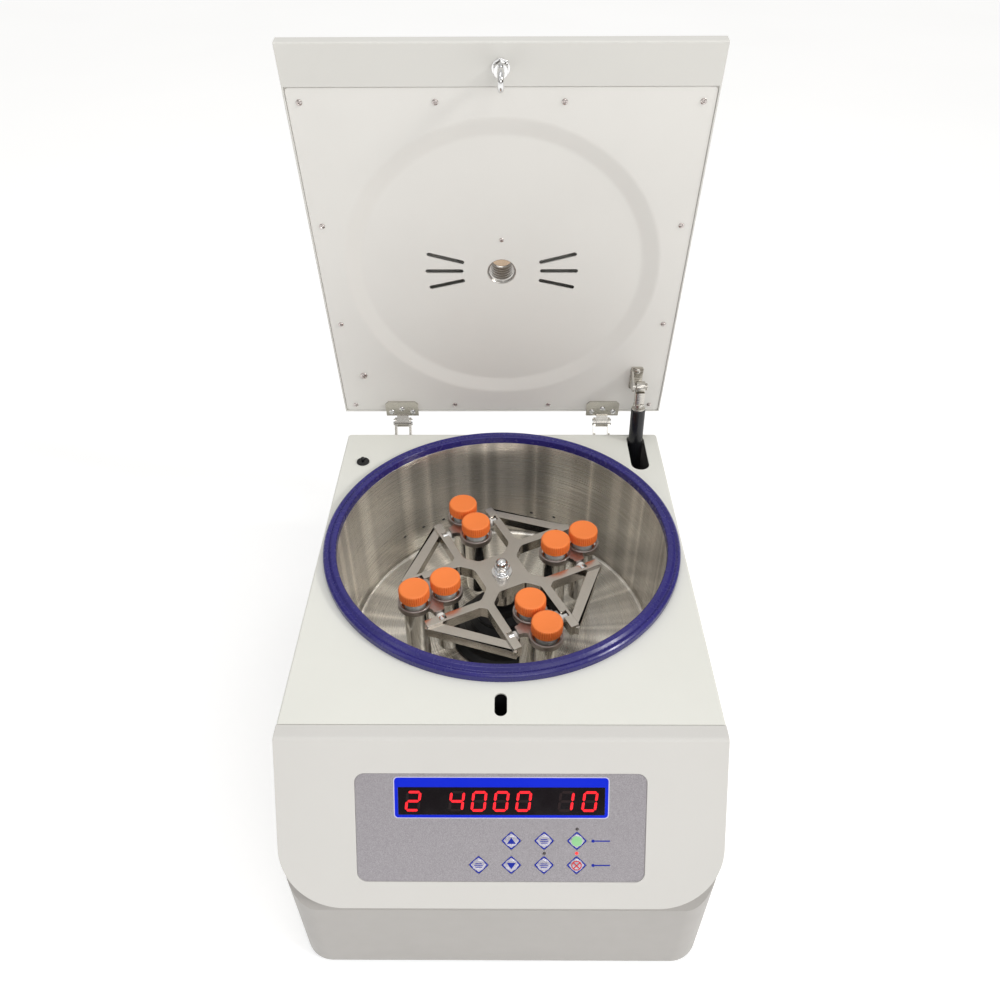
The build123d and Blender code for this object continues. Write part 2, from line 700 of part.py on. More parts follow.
dish_ro, dish_ri, dish_d, skin = 175.5, 154.0, 5.0, 1.5
panel_screws = (
    [(x, -411.0) for x in (-190.0, -62.0, 60.0, 190.0)]
    + [(x, -282.0) for x in (-190.0, 190.0)]
    + [(x, -154.0) for x in (-189.5, 189.5)]
    + [(x, -26.0) for x in (-189.5, -61.0, 59.5, 189.5)]
)
with BuildPart() as lid_panel:
    with BuildSketch(lid.offset(panel_z)) as s:
        with Locations((0, -(lid_band - 0.6 + lid_rear + 2.2) / 2)):
            RectangleRounded(2 * (lid_half_w - 2.4), lid_band - 0.6 - lid_rear - 2.2, 4)
    extrude(amount=skin)
    with BuildSketch(lid.offset(panel_z - 1)):
        with Locations((0, -port_u)):
            Circle(dish_ro)
    extrude(amount=skin + 2, mode=Mode.SUBTRACT)
    with BuildSketch(
        Plane(origin=lid.from_local_coords(Vector(0, -port_u, 0)), x_dir=(1, 0, 0), z_dir=-lid.y_dir)
    ) as s:
        with BuildLine():
            Polyline(
                (16.0, panel_z + dish_d),
                (dish_ri, panel_z + dish_d),
                (dish_ro, panel_z),
                (dish_ro, panel_z + skin),
                (dish_ri, panel_z + dish_d + skin),
                (16.0, panel_z + dish_d + skin),
                close=True,
            )
        make_face()
    revolve(axis=Axis(lid.from_local_coords(Vector(0, -port_u, 0)), lid.z_dir))
    # louvre slots each side of the port
    with BuildSketch(lid.offset(panel_z + dish_d - 1)):
        for sx in (-1, 1):
            for x0, u0, x1, u1 in ((80.0, 244.0, 44.0, 234.2), (82.6, 222.8, 45.2, 222.8), (79.6, 201.6, 44.0, 210.2)):
                with Locations(
                    Location((sx * (x0 + x1) / 2, -(u0 + u1) / 2, 0), (0, 0, math.degrees(math.atan2(-(u0 - u1), sx * (x0 - x1)))))
                ):
                    SlotOverall(math.hypot(x1 - x0, u1 - u0) + 2.6, 5.2)
    extrude(amount=skin + 2, mode=Mode.SUBTRACT)
    with BuildSketch(lid.offset(panel_z - 1)):
        with Locations(*panel_screws, (-173.0, -75.0)):
            Circle(1.75)
    extrude(amount=skin + 2, mode=Mode.SUBTRACT)
save(lid_panel.part, "lid_panel")

with BuildPart() as lid_screws:
    with BuildSketch(lid.offset(panel_z)):
        with Locations(*panel_screws):
            Circle(3.1)
    extrude(amount=-0.9)
    with BuildSketch(lid.offset(panel_z)):
        with Locations((-173.0, -75.0)):
            Circle(4.6)
    extrude(amount=-2.4)
    with BuildSketch(lid.offset(panel_z)):
        with Locations(*panel_screws, (-173.0, -75.0)):
            Circle(1.7)
    extrude(amount=skin)
    with BuildSketch(lid.offset(panel_z + dish_d)):
        with Locations((0, -262.0)):
            Circle(2.6)
    extrude(amount=-0.9)
    # three screws in each hinge leaf
    with BuildSketch(lid.offset(panel_z - 2.5)):
        for sx in (-1, 1):
            with Locations((sx * hinge_x - 13.5, -15.5), (sx * hinge_x, -20.5), (sx * hinge_x + 13.5, -15.5)):
                Circle(3.5)
    extrude(amount=-1.1)
save(lid_screws.part, "lid_screws")

port_axis = Plane(
    origin=lid.from_local_coords(Vector(0, -port_u, 0)), x_dir=(1, 0, 0), z_dir=-lid.y_dir
)
port_line = Axis(lid.from_local_coords(Vector(0, -port_u, 0)), lid.z_dir)
with BuildPart() as sight_port:
    with BuildSketch(port_axis):
        with BuildLine():
            rings = []
            z = panel_z + dish_d + 0.5
            rings.append((15.9, z))
            rings.append((14.9, z))
            z += 2.5
            while z < lid_top - 6:
                rings.append((14.9, z))
                rings.append((13.6, z + 1.2))
                rings.append((13.6, z + 2.2))
                rings.append((14.9, z + 3.4))
                z += 4.6
            rings += [
                (13.0, lid_top - 2.6),
                (14.6, lid_top - 2.6),
                (14.6, lid_top + 3.0),
                (22.0, lid_top + 3.0),
                (23.0, lid_top + 2.0),
                (23.0, lid_top),
                (15.9, lid_top),
            ]
            Polyline(*rings, close=True)
        make_face()
    revolve(axis=port_line)
save(sight_port.part, "sight_port")

with BuildPart() as sight_glass:
    with BuildSketch(lid.offset(lid_top - 2.6)):
        with Locations((0, -port_u)):
            Circle(14.5)
    extrude(amount=3.6)
save(sight_glass.part, "sight_glass")

with BuildPart() as striker:
    with BuildSketch(lid.offset(skirt_z)):
        with Locations((0, -latch_u)):
            Circle(8.6)
    extrude(amount=-1.4)
    with BuildSketch(lid.offset(skirt_z - 1.4)):
        with Locations((0, -latch_u)):
            RegularPolygon(6.6, 6, major_radius=False)
    extrude(amount=-7.0)
    with BuildSketch(lid.offset(skirt_z - 8.4)):
        with Locations((0, -latch_u)):
            Circle(3.6)
    extrude(amount=-7.4)
    with BuildSketch(Plane(origin=lid_side.origin, x_dir=lid_side.x_dir, z_dir=lid_side.z_dir)):
        with Locations((-latch_u, -22.0)):
            SlotOverall(25.0, 19.0, rotation=90)
            SlotOverall(14.0, 8.0, rotation=90, mode=Mode.SUBTRACT)
    extrude(amount=3.1, both=True)
save(striker.part, "striker")

with BuildPart() as hinge_leaves:
    for sx in (-1, 1):
        cx = sx * hinge_x
        with BuildSketch(lid.offset(panel_z - 2.5)) as s:
            with BuildLine():
                Polyline(
                    (cx - 21, -8.6),
                    (cx + 21, -8.6),
                    (cx + 21, -28.0),
                    (cx + 17, -32.0),
                    (cx - 17, -32.0),
                    (cx - 21, -28.0),
                    close=True,
                )
            make_face()
        extrude(amount=2.5)
        with BuildSketch(Plane(origin=lid_side.origin + Vector(cx, 0, 0), x_dir=lid_side.x_dir, z_dir=lid_side.z_dir)):
            Circle(6.4)
            with BuildLine():
                Polyline((-10.0, 5.4), (-1.0, 5.4), (-1.0, -6.0), (-4.0, -5.0), (-10.0, 1.5), close=True)
            make_face()
        extrude(amount=7.4, both=True)
        with BuildSketch(Plane(origin=lid_side.origin + Vector(cx - 9, 0, 0), x_dir=lid_side.x_dir, z_dir=lid_side.z_dir)):
            Circle(3.06)
        extrude(amount=18, mode=Mode.SUBTRACT)
save(hinge_leaves.part, "hinge_leaves")

# ------------------------------------------------------------------ gas strut
with BuildPart() as strut_bracket:
    with BuildSketch(lid.offset(panel_z)):
        with Locations((strut_x - 9.5, -strut_u)):
            RectangleRounded(15, 34, 3)
    extrude(amount=-2.2)
    with BuildSketch(Plane(origin=lid_side.origin + Vector(strut_x - 8.0, 0, 0), x_dir=lid_side.x_dir, z_dir=lid_side.z_dir)):
        with BuildLine():
            Polyline(
                (-strut_u - 12, panel_z - 1),
                (-strut_u + 12, panel_z - 1),
                (-strut_u + 6, strut_n - 3),
                (-strut_u - 6, strut_n - 3),
                close=True,
            )
        make_face()
        with Locations((-strut_u, strut_n)):
            Circle(6.5)
    extrude(amount=-2.4)
    with BuildSketch(Plane(origin=lid_side.origin + Vector(strut_x - 9.0, 0, 0), x_dir=lid_side.x_dir, z_dir=lid_side.z_dir)):
        with Locations((-strut_u, strut_n)):
            Circle(3.0)
    extrude(amount=15.5)
    with BuildSketch(Plane(origin=lid_side.origin + Vector(strut_x + 6.5, 0, 0), x_dir=lid_side.x_dir, z_dir=lid_side.z_dir)):
        with Locations((-strut_u, strut_n)):
            Circle(4.6)
    extrude(amount=2.0)
save(strut_bracket.part, "strut_bracket")

pin = lid.from_local_coords(Vector(0, -strut_u, strut_n))
down = Vector(0, strut_foot_y - pin.Y, strut_foot_z - pin.Z)
strut_len = down.length
down = down.normalized()
strut = Plane(origin=(strut_x, pin.Y, pin.Z), x_dir=(1, 0, 0), z_dir=(down.X, down.Y, down.Z))
strut_cyl_end = 186.0
with BuildPart() as strut_cylinder:
    with BuildSketch(strut.offset(36)):
        Circle(9.0)
    extrude(amount=strut_cyl_end - 36)
    fillet(strut_cylinder.edges().sort_by(Axis.Z)[-1], 1.5)
    with BuildSketch(strut.offset(22)):
        Circle(5.4)
    extrude(amount=14)
    with BuildSketch(strut.offset(12)):
        Rectangle(11.5, 11.5)
    extrude(amount=14)
    with BuildSketch(Plane(origin=strut.origin + Vector(-5.4, 0, 0), x_dir=(0, 1, 0), z_dir=(1, 0, 0))):
        Circle(7.0)
    extrude(amount=10.8)
    with BuildSketch(strut.offset(2)):
        Rectangle(8, 9)
    extrude(amount=12)
    with BuildSketch(Plane(origin=strut.origin + Vector(-8, 0, 0), x_dir=(0, 1, 0), z_dir=(1, 0, 0))):
        Circle(3.06)
    extrude(amount=16, mode=Mode.SUBTRACT)
    with BuildSketch(strut.offset(strut_cyl_end + 1)):
        Circle(4.06)
    extrude(amount=-132, mode=Mode.SUBTRACT)
save(strut_cylinder.part, "strut_cylinder")

with BuildPart() as strut_rod:
    with BuildSketch(strut.offset(strut_cyl_end - 20)):
        Circle(4.0)
    extrude(amount=strut_len - strut_cyl_end + 20 - 4)
    with BuildSketch(Plane(origin=strut.origin + down * strut_len, x_dir=(1, 0, 0), z_dir=(0, 1, 0))) as s:
        with BuildLine():
            Line((0, -6.5), (0, 6.5))
            ThreePointArc((0, 6.5), (6.5, 0), (0, -6.5))
        make_face()
    revolve(axis=Axis(strut.origin + down * strut_len, (0, 0, 1)))
save(strut_rod.part, "strut_rod")

# ------------------------------------------------------------------ rotor
with BuildPart() as drive_shaft:
    with BuildSketch(Plane(origin=(0, bowl_y, foot_h + 50))):
        Circle(shaft_r)
    extrude(amount=rotor_top - yoke_t - 26 - foot_h - 50)
    with BuildSketch(Plane(origin=(0, bowl_y, rotor_top - yoke_t - 26))):
        Circle(shaft_r - 1.0)
    extrude(amount=yoke_t + 26)
    with BuildSketch(Plane(origin=(0, bowl_y, rotor_top))):
        Circle(4.9)
    extrude(amount=11)
save(drive_shaft.part, "drive_shaft")

with BuildPart() as rotor_yoke:
    with BuildSketch(Plane(origin=(0, bowl_y, rotor_top - yoke_t))) as s:
        Rectangle(54, 54, rotation=bucket_deg[0])
        for a in arm_deg:
            ra = math.radians(a)
            with Locations(Location((30 * math.cos(ra), 30 * math.sin(ra), 0), (0, 0, a))):
                Rectangle(60, 15)
        for b in bucket_deg:
            rb = math.radians(b)
            for sy in (-1, 1):
                r0, r1 = 36.0, 108.5
                rm = (r0 + r1) / 2
                px = rm * math.cos(rb) - sy * prong_mid * math.sin(rb)
                py = rm * math.sin(rb) + sy * prong_mid * math.cos(rb)
                with Locations(Location((px, py, 0), (0, 0, b))):
                    Rectangle(r1 - r0, prong_w)
        # cast radii round the bays and pockets near the hub
        for lo, hi, r in ((20, 40, 8), (45, 55, 8), (56, 64, 3)):
            fillet([v for v in s.vertices() if lo < math.hypot(v.X, v.Y) < hi], r)
    extrude(amount=yoke_t)
    # outer bars joining the two prongs of each arm, a little lower
    with BuildSketch(Plane(origin=(0, bowl_y, rotor_top - yoke_t))) as s:
        for a in arm_deg:
            ra = math.radians(a)
            with Locations(Location((99.0 * math.cos(ra), 99.0 * math.sin(ra), 0), (0, 0, a))):
                Rectangle(13, 104)
    extrude(amount=yoke_t - 3)
    # hub boss on the shaft
    with BuildSketch(Plane(origin=(0, bowl_y, rotor_top - yoke_t - 26))):
        Circle(17)
    extrude(amount=26)
    # open-topped seats for the bucket trunnions, blind on the outer side of each prong
    for b in bucket_deg:
        rb = math.radians(b)
        c = Vector(pivot_r * math.cos(rb), bowl_y + pivot_r * math.sin(rb), pivot_z)
        along = Vector(-math.sin(rb), math.cos(rb), 0)
        with BuildSketch(Plane(origin=c - along * 36.4, x_dir=(math.cos(rb), math.sin(rb), 0), z_dir=along)) as s:
            Circle(trunnion_r + 0.06)
            with Locations((0, -6)):
                Rectangle(2 * (trunnion_r + 0.06), 12)
        extrude(amount=72.8, mode=Mode.SUBTRACT)
    with BuildSketch(Plane(origin=(0, bowl_y, rotor_top - yoke_t - 30))):
        Circle(shaft_r - 1.0 + 0.02)
    extrude(amount=60, mode=Mode.SUBTRACT)
save(rotor_yoke.part, "rotor_yoke")

# the hub's dome nut and the loose washer under it
with BuildPart() as rotor_nut:
    with BuildSketch(Plane(origin=(0, bowl_y, rotor_top + 2))):
        RegularPolygon(8.0, 6, major_radius=False)
    extrude(amount=8.5)
    with BuildSketch(Plane(origin=(0, bowl_y, rotor_top + 10.5))):
        Circle(7.2)
    extrude(amount=9)
    fillet(rotor_nut.edges().group_by(Axis.Z)[-1], 5.5)
    with BuildSketch(Plane(origin=(0, bowl_y, rotor_top + 2))):
        Circle(5.0)
    extrude(amount=11, mode=Mode.SUBTRACT)
    with BuildSketch(Plane(origin=(0, bowl_y, rotor_top))):
        Circle(12)
        Circle(5.1, mode=Mode.SUBTRACT)
    extrude(amount=1.98)
save(rotor_nut.part, "rotor_nut")

# ------------------------------------------------------------------ buckets, tubes and caps
# the carrier plate's two wings, narrowing from the rims to the trunnions
wing_half = ((14.0, 11.0), (19.3, 7.4), (22.0, 6.2), (26.0, 6.2))
wing = [(w, y) for y, w in wing_half] + [(-w, y) for y, w in reversed(wing_half)]
wing += [(-w, -y) for y, w in wing_half] + [(w, -y) for y, w in reversed(wing_half)]

for i, b in enumerate(bucket_deg, 1):
    rb = math.radians(b)
    out = Vector(math.cos(rb), math.sin(rb), 0)
    along = Vector(-math.sin(rb), math.cos(rb), 0)
    base = Vector(0, bowl_y, 0)

    def level(z):
        return Plane(origin=(0, bowl_y, z), x_dir=out, z_dir=(0, 0, 1))

    cup_at = [(pivot_r - cup_pitch / 2, 0), (pivot_r + cup_pitch / 2, 0)]
    with BuildPart() as cup_void:
        with BuildSketch(level(cup_bottom + 2.0)):
            with Locations(*cup_at):
                Circle(cup_ri)
        extrude(amount=rim_top - cup_bottom)
        fillet(cup_void.edges().group_by(Axis.Z)[0], 7.75)
    with BuildPart() as bucket:
        with BuildSketch(level(rim_top - rim_h)) as s:
            with Locations(*cup_at):
                Circle(rim_r)
            with BuildLine():
                Polyline(*[(pivot_r + x, y) for x, y in wing], close=True)
            make_face()
        extrude(amount=rim_h)
        with BuildSketch(level(cup_bottom)):
            with Locations(*cup_at):
                Circle(cup_ro)
        extrude(amount=rim_top - rim_h - cup_bottom)
        fillet(bucket.edges().group_by(Axis.Z)[0], 9.0)
        add(cup_void.part, mode=Mode.SUBTRACT)
        with BuildSketch(level(rim_top - 2.4)):
            with Locations(*cup_at):
                Circle(16.6)
        extrude(amount=4, mode=Mode.SUBTRACT)
        # trunnion pins
        for sy in (-1, 1):
            c = base + out * pivot_r + along * (sy * 17.0) + Vector(0, 0, pivot_z)
            with BuildSketch(Plane(origin=c, x_dir=out, z_dir=along * sy)):
                Circle(trunnion_r)
            extrude(amount=19.0)
    save(bucket.part, f"bucket_{i}")

    with BuildPart() as tubes:
        with BuildSketch(level(cup_bottom + 2.3)):
            with Locations(*cup_at):
                Circle(tube_r)
        extrude(amount=cap_top - 2.2 - cup_bottom - 2.3)
        fillet(tubes.edges().group_by(Axis.Z)[0], 9.5)
        with BuildSketch(level(cup_bottom + 14.0)):
            with Locations(*cup_at):
                Circle(tube_r - 1.0)
        extrude(amount=cap_top - cup_bottom, mode=Mode.SUBTRACT)
    save(tubes.part, f"tubes_{i}")

    with BuildPart() as caps:
        with BuildSketch(level(cap_top - cap_h)):
            with Locations(*cup_at):
                Circle(cap_r)
        extrude(amount=cap_h)
        fillet(caps.edges().group_by(Axis.Z)[-1], 1.2)
        with BuildSketch(level(cap_top - cap_h)):
            with Locations(*cup_at):
                Circle(tube_r + 0.1)
        extrude(amount=cap_h - 2.0, mode=Mode.SUBTRACT)
    save(caps.part, f"caps_{i}")
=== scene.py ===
import json
import math

import bmesh
import bpy
from mathutils import Matrix, Vector
from mathutils.geometry import delaunay_2d_cdt
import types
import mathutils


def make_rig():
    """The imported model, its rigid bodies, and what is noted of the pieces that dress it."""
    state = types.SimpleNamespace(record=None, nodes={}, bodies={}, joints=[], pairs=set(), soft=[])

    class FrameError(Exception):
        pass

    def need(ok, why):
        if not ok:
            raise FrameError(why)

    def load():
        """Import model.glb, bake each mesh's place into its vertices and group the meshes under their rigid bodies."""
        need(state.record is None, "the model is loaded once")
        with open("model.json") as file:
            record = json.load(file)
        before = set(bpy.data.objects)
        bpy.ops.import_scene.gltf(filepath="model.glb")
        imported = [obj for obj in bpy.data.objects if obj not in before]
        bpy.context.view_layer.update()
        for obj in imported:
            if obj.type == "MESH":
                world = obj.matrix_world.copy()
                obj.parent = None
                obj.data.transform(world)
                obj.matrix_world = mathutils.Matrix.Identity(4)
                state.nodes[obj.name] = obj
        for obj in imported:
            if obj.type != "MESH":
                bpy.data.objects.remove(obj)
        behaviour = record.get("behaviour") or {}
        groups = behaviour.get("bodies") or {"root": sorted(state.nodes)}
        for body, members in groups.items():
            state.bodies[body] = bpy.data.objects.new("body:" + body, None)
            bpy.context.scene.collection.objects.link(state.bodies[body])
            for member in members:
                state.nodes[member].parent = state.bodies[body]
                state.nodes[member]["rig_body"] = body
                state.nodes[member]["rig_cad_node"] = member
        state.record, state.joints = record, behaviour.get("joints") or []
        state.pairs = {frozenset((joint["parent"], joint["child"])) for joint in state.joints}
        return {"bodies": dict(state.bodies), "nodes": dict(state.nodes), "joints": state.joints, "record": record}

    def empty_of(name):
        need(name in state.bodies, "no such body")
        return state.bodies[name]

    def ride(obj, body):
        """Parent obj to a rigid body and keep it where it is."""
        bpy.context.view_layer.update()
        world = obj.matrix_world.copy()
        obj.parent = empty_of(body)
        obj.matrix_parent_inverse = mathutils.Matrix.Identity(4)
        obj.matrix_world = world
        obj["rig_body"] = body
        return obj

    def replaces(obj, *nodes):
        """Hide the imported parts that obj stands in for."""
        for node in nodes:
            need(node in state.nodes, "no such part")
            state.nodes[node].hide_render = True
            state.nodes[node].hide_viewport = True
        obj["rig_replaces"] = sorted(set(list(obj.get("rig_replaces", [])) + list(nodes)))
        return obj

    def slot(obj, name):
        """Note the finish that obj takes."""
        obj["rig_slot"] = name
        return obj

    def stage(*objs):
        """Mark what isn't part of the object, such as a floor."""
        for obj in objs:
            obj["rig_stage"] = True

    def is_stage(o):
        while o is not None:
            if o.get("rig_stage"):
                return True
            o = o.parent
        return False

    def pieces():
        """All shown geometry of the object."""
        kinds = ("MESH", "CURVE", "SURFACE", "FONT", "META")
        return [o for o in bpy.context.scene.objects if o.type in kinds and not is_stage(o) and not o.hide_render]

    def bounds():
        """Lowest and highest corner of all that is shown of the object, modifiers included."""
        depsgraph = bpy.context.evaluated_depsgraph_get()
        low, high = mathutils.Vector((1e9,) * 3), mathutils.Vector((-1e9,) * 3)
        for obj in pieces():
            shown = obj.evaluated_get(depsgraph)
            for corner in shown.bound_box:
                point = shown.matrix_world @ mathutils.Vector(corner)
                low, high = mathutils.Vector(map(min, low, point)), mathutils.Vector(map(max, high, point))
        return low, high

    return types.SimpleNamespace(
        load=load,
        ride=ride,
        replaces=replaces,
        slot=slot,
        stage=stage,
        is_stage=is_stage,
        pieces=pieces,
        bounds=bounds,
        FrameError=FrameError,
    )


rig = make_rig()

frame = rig.load()
box_lo, box_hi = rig.bounds()
SC = bpy.context.scene
COL = SC.collection

# ------------------------------------------------------------------ shared dimensions, mm
BOWL_Y = 39.35
FOOT_H = 10.0
DECK_Z = 279.3
REAR_Y = BOWL_Y + 202.6
BEND_Y = BOWL_Y - 256.4
LIP_Y, LIP_Z = BOWL_Y - 339.7, FOOT_H + 128.5
FACE_A = math.atan2(BEND_Y - LIP_Y, DECK_Z - LIP_Z)
LID_A = math.radians(80.5)
HINGE_Y, HINGE_Z, HINGE_X = BOWL_Y + 222.0, DECK_Z + 5.5, 130.0
PANEL_Z, SKIRT_Z, LID_TOP = 5.5, 4.5, 43.5
PORT_U, LATCH_U = 222.0, 441.85
FLOOR_Z = FOOT_H + 118.0
ROTOR_TOP = DECK_Z - 50.0
STRUT_X, STRUT_U, STRUT_N = 171.0, 72.0, -12.5
STRUT_FOOT = (BOWL_Y + 158.0, FOOT_H + 30.0)
BUCKETS = (26.5, 116.5, 206.5, 296.5)
PIVOT_R, PIVOT_Z = 88.5, ROTOR_TOP - 5.3


def basis(origin, x, z):
    """Matrix from a local frame in mm to the row frame in metres."""
    x, z = Vector(x).normalized(), Vector(z).normalized()
    y = z.cross(x)
    m = Matrix((
        (x.x, y.x, z.x, origin[0]),
        (x.y, y.y, z.y, origin[1]),
        (x.z, y.z, z.z, origin[2]),
        (0, 0, 0, 1),
    ))
    return Matrix.Scale(0.001, 4) @ m


ROW = basis((0, 0, 0), (1, 0, 0), (0, 0, 1))
FACE = basis((0, BEND_Y, DECK_Z), (1, 0, 0), (0, -math.cos(FACE_A), math.sin(FACE_A)))
LID = basis((0, HINGE_Y, HINGE_Z), (1, 0, 0), (0, math.sin(LID_A), math.cos(LID_A)))


# ------------------------------------------------------------------ materials
def tree(name):
    m = bpy.data.materials.new(name)
    m.use_nodes = True
    nt = m.node_tree
    nt.nodes.clear()
    out = nt.nodes.new("ShaderNodeOutputMaterial")
    return m, nt, out


def node(nt, kind, **sets):
    n = nt.nodes.new(kind)
    for k, v in sets.items():
        setattr(n, k, v)
    return n


def coords(nt, scale=(1, 1, 1)):
    tc = node(nt, "ShaderNodeTexCoord")
    mp = node(nt, "ShaderNodeMapping")
    mp.inputs["Scale"].default_value = scale
    nt.links.new(tc.outputs["Object"], mp.inputs["Vector"])
    return mp.outputs["Vector"]


def noise(nt, vec, scale, detail=3.0, rough=0.5):
    n = node(nt, "ShaderNodeTexNoise")
    n.inputs["Scale"].default_value = scale
    n.inputs["Detail"].default_value = detail
    n.inputs["Roughness"].default_value = rough
    nt.links.new(vec, n.inputs["Vector"])
    return n.outputs["Fac"]


def ramp(nt, fac, stops):
    r = node(nt, "ShaderNodeValToRGB")
    els = r.color_ramp.elements
    while len(els) < len(stops):
        els.new(0.5)
    for e, (p, c) in zip(els, stops):
        e.position = p
        e.color = (*c, 1) if len(c) == 3 else c
    nt.links.new(fac, r.inputs["Fac"])
    return r.outputs["Color"]


def remap(nt, fac, a, b, lo, hi):
    r = node(nt, "ShaderNodeMapRange")
    for k, v in zip(("From Min", "From Max", "To Min", "To Max"), (a, b, lo, hi)):
        r.inputs[k].default_value = v
    nt.links.new(fac, r.inputs["Value"])
    return r.outputs["Result"]


def bump(nt, fac, strength, distance, normal=None):
    b = node(nt, "ShaderNodeBump")
    b.inputs["Strength"].default_value = strength
    b.inputs["Distance"].default_value = distance
    nt.links.new(fac, b.inputs["Height"])
    if normal is not None:
        nt.links.new(normal, b.inputs["Normal"])
    return b.outputs["Normal"]


def shade(c, k):
    return tuple(max(0.0, min(1.0, x * k)) for x in c)


def principled(nt, out, **sets):
    p = node(nt, "ShaderNodeBsdfPrincipled")
    for k, v in sets.items():
        p.inputs[k].default_value = v
    nt.links.new(p.outputs["BSDF"], out.inputs["Surface"])
    return p


def coat(name, c, rough=0.42, grain=1300.0, depth=0.10, tone=0.03, spec=0.45):
    """Powder coat, moulded plastic or film: fine orange peel, a slow drift of tone and of gloss."""
    m, nt, out = tree(name)
    v = coords(nt)
    p = principled(nt, out, **{"Specular IOR Level": spec})
    slow = noise(nt, v, 9.0, 3.0)
    nt.links.new(ramp(nt, slow, [(0.3, shade(c, 1 - tone)), (0.7, shade(c, 1 + tone))]), p.inputs["Base Color"])
    fine = noise(nt, v, grain, 2.0)
    nt.links.new(remap(nt, noise(nt, v, 60.0), 0.3, 0.7, rough - 0.04, rough + 0.04), p.inputs["Roughness"])
    nt.links.new(bump(nt, fine, depth, 0.0003), p.inputs["Normal"])
    return m


def metal(name, c, rough, stretch=(1, 1, 1), grain=900.0, depth=0.05, tone=0.06, smear=0.0, spread=0.05):
    """Bare or plated metal: scratches drawn out along one direction, patchy gloss."""
    m, nt, out = tree(name)
    p = principled(nt, out, Metallic=1.0, Anisotropic=smear)
    v = coords(nt, stretch)
    g = noise(nt, v, grain, 4.0, 0.6)
    patch = noise(nt, coords(nt), 35.0, 4.0)
    nt.links.new(ramp(nt, patch, [(0.25, shade(c, 1 - tone)), (0.75, shade(c, 1 + tone))]), p.inputs["Base Color"])
    nt.links.new(remap(nt, g, 0.25, 0.75, max(0.02, rough - spread), rough + spread), p.inputs["Roughness"])
    nt.links.new(bump(nt, g, depth, 0.0002), p.inputs["Normal"])
    return m


def round_brushed(name, c, rough, smear=0.75):
    """Metal brushed round its own z axis: grooves follow the circle on walls and floor alike; painted reflection
    streaks run through its colour.
    """
    m, nt, out = tree(name)
    p = principled(nt, out, Metallic=0.80, Anisotropic=smear)
    tc = node(nt, "ShaderNodeTexCoord")
    sep = node(nt, "ShaderNodeSeparateXYZ")
    nt.links.new(tc.outputs["Object"], sep.inputs["Vector"])
    xy = node(nt, "ShaderNodeCombineXYZ")
    nt.links.new(sep.outputs["X"], xy.inputs["X"])
    nt.links.new(sep.outputs["Y"], xy.inputs["Y"])
    ln = node(nt, "ShaderNodeVectorMath", operation="LENGTH")
    nt.links.new(xy.outputs["Vector"], ln.inputs[0])
    add = node(nt, "ShaderNodeMath", operation="ADD")
    nt.links.new(ln.outputs["Value"], add.inputs[0])
    nt.links.new(sep.outputs["Z"], add.inputs[1])
    cmb = node(nt, "ShaderNodeCombineXYZ")
    for a, k in (("X", 5.0), ("Y", 5.0)):
        mul = node(nt, "ShaderNodeMath", operation="MULTIPLY")
        mul.inputs[1].default_value = k
        nt.links.new(sep.outputs[a], mul.inputs[0])
        nt.links.new(mul.outputs[0], cmb.inputs[a])
    mul = node(nt, "ShaderNodeMath", operation="MULTIPLY")
    mul.inputs[1].default_value = 2600.0
    nt.links.new(add.outputs[0], mul.inputs[0])
    nt.links.new(mul.outputs[0], cmb.inputs["Z"])
    g = noise(nt, cmb.outputs["Vector"], 1.0, 5.0, 0.65)
    # painted reflection streaks: broad light and dark bands in the base colour that stand upright on the wall and run
    # radially over the floor
    nrm = node(nt, "ShaderNodeVectorMath", operation="NORMALIZE")
    nt.links.new(xy.outputs["Vector"], nrm.inputs[0])
    painted_reflection_streak = noise(nt, nrm.outputs["Vector"], 3.4, 2.0, 0.45)
    nt.links.new(ramp(nt, painted_reflection_streak, [(0.28, shade(c, 0.46)), (0.41, shade(c, 0.72)), (0.48, shade(c, 1.22)), (0.54, shade(c, 0.74)), (0.62, shade(c, 1.05)), (0.70, shade(c, 1.38))]), p.inputs["Base Color"])
    nt.links.new(remap(nt, g, 0.25, 0.75, rough - 0.06, rough + 0.08), p.inputs["Roughness"])
    nt.links.new(bump(nt, g, 0.05, 0.0002), p.inputs["Normal"])
    tan = node(nt, "ShaderNodeTangent", direction_type="RADIAL", axis="Z")
    nt.links.new(tan.outputs["Tangent"], p.inputs["Tangent"])
    return m


def rubber(name, c, rough=0.5, sheen=0.2, spec=0.4, grain=0.12):
    m, nt, out = tree(name)
    v = coords(nt)
    p = principled(nt, out, **{"Sheen Weight": sheen, "Sheen Roughness": 0.4, "Specular IOR Level": spec})
    nt.links.new(ramp(nt, noise(nt, v, 25.0, 4.0), [(0.3, shade(c, 0.9)), (0.7, shade(c, 1.12))]), p.inputs["Base Color"])
    nt.links.new(remap(nt, noise(nt, v, 160.0, 3.0), 0.3, 0.7, rough - 0.07, rough + 0.08), p.inputs["Roughness"])
    nt.links.new(bump(nt, noise(nt, v, 1600.0, 2.0), grain, 0.0002), p.inputs["Normal"])
    return m


def clear(name, tint, rough=0.06, ior=1.5, cloud=0.0):
    """Clear plastic or glass with faint moulding waves."""
    m, nt, out = tree(name)
    v = coords(nt)
    p = principled(nt, out, IOR=ior, **{"Transmission Weight": 1.0 - cloud})
    nt.links.new(ramp(nt, noise(nt, v, 40.0), [(0.3, shade(tint, 0.96)), (0.7, tint)]), p.inputs["Base Color"])
    nt.links.new(remap(nt, noise(nt, v, 90.0), 0.3, 0.7, rough * 0.5, rough * 1.5), p.inputs["Roughness"])
    nt.links.new(bump(nt, noise(nt, v, 220.0), 0.05, 0.0005), p.inputs["Normal"])
    return m


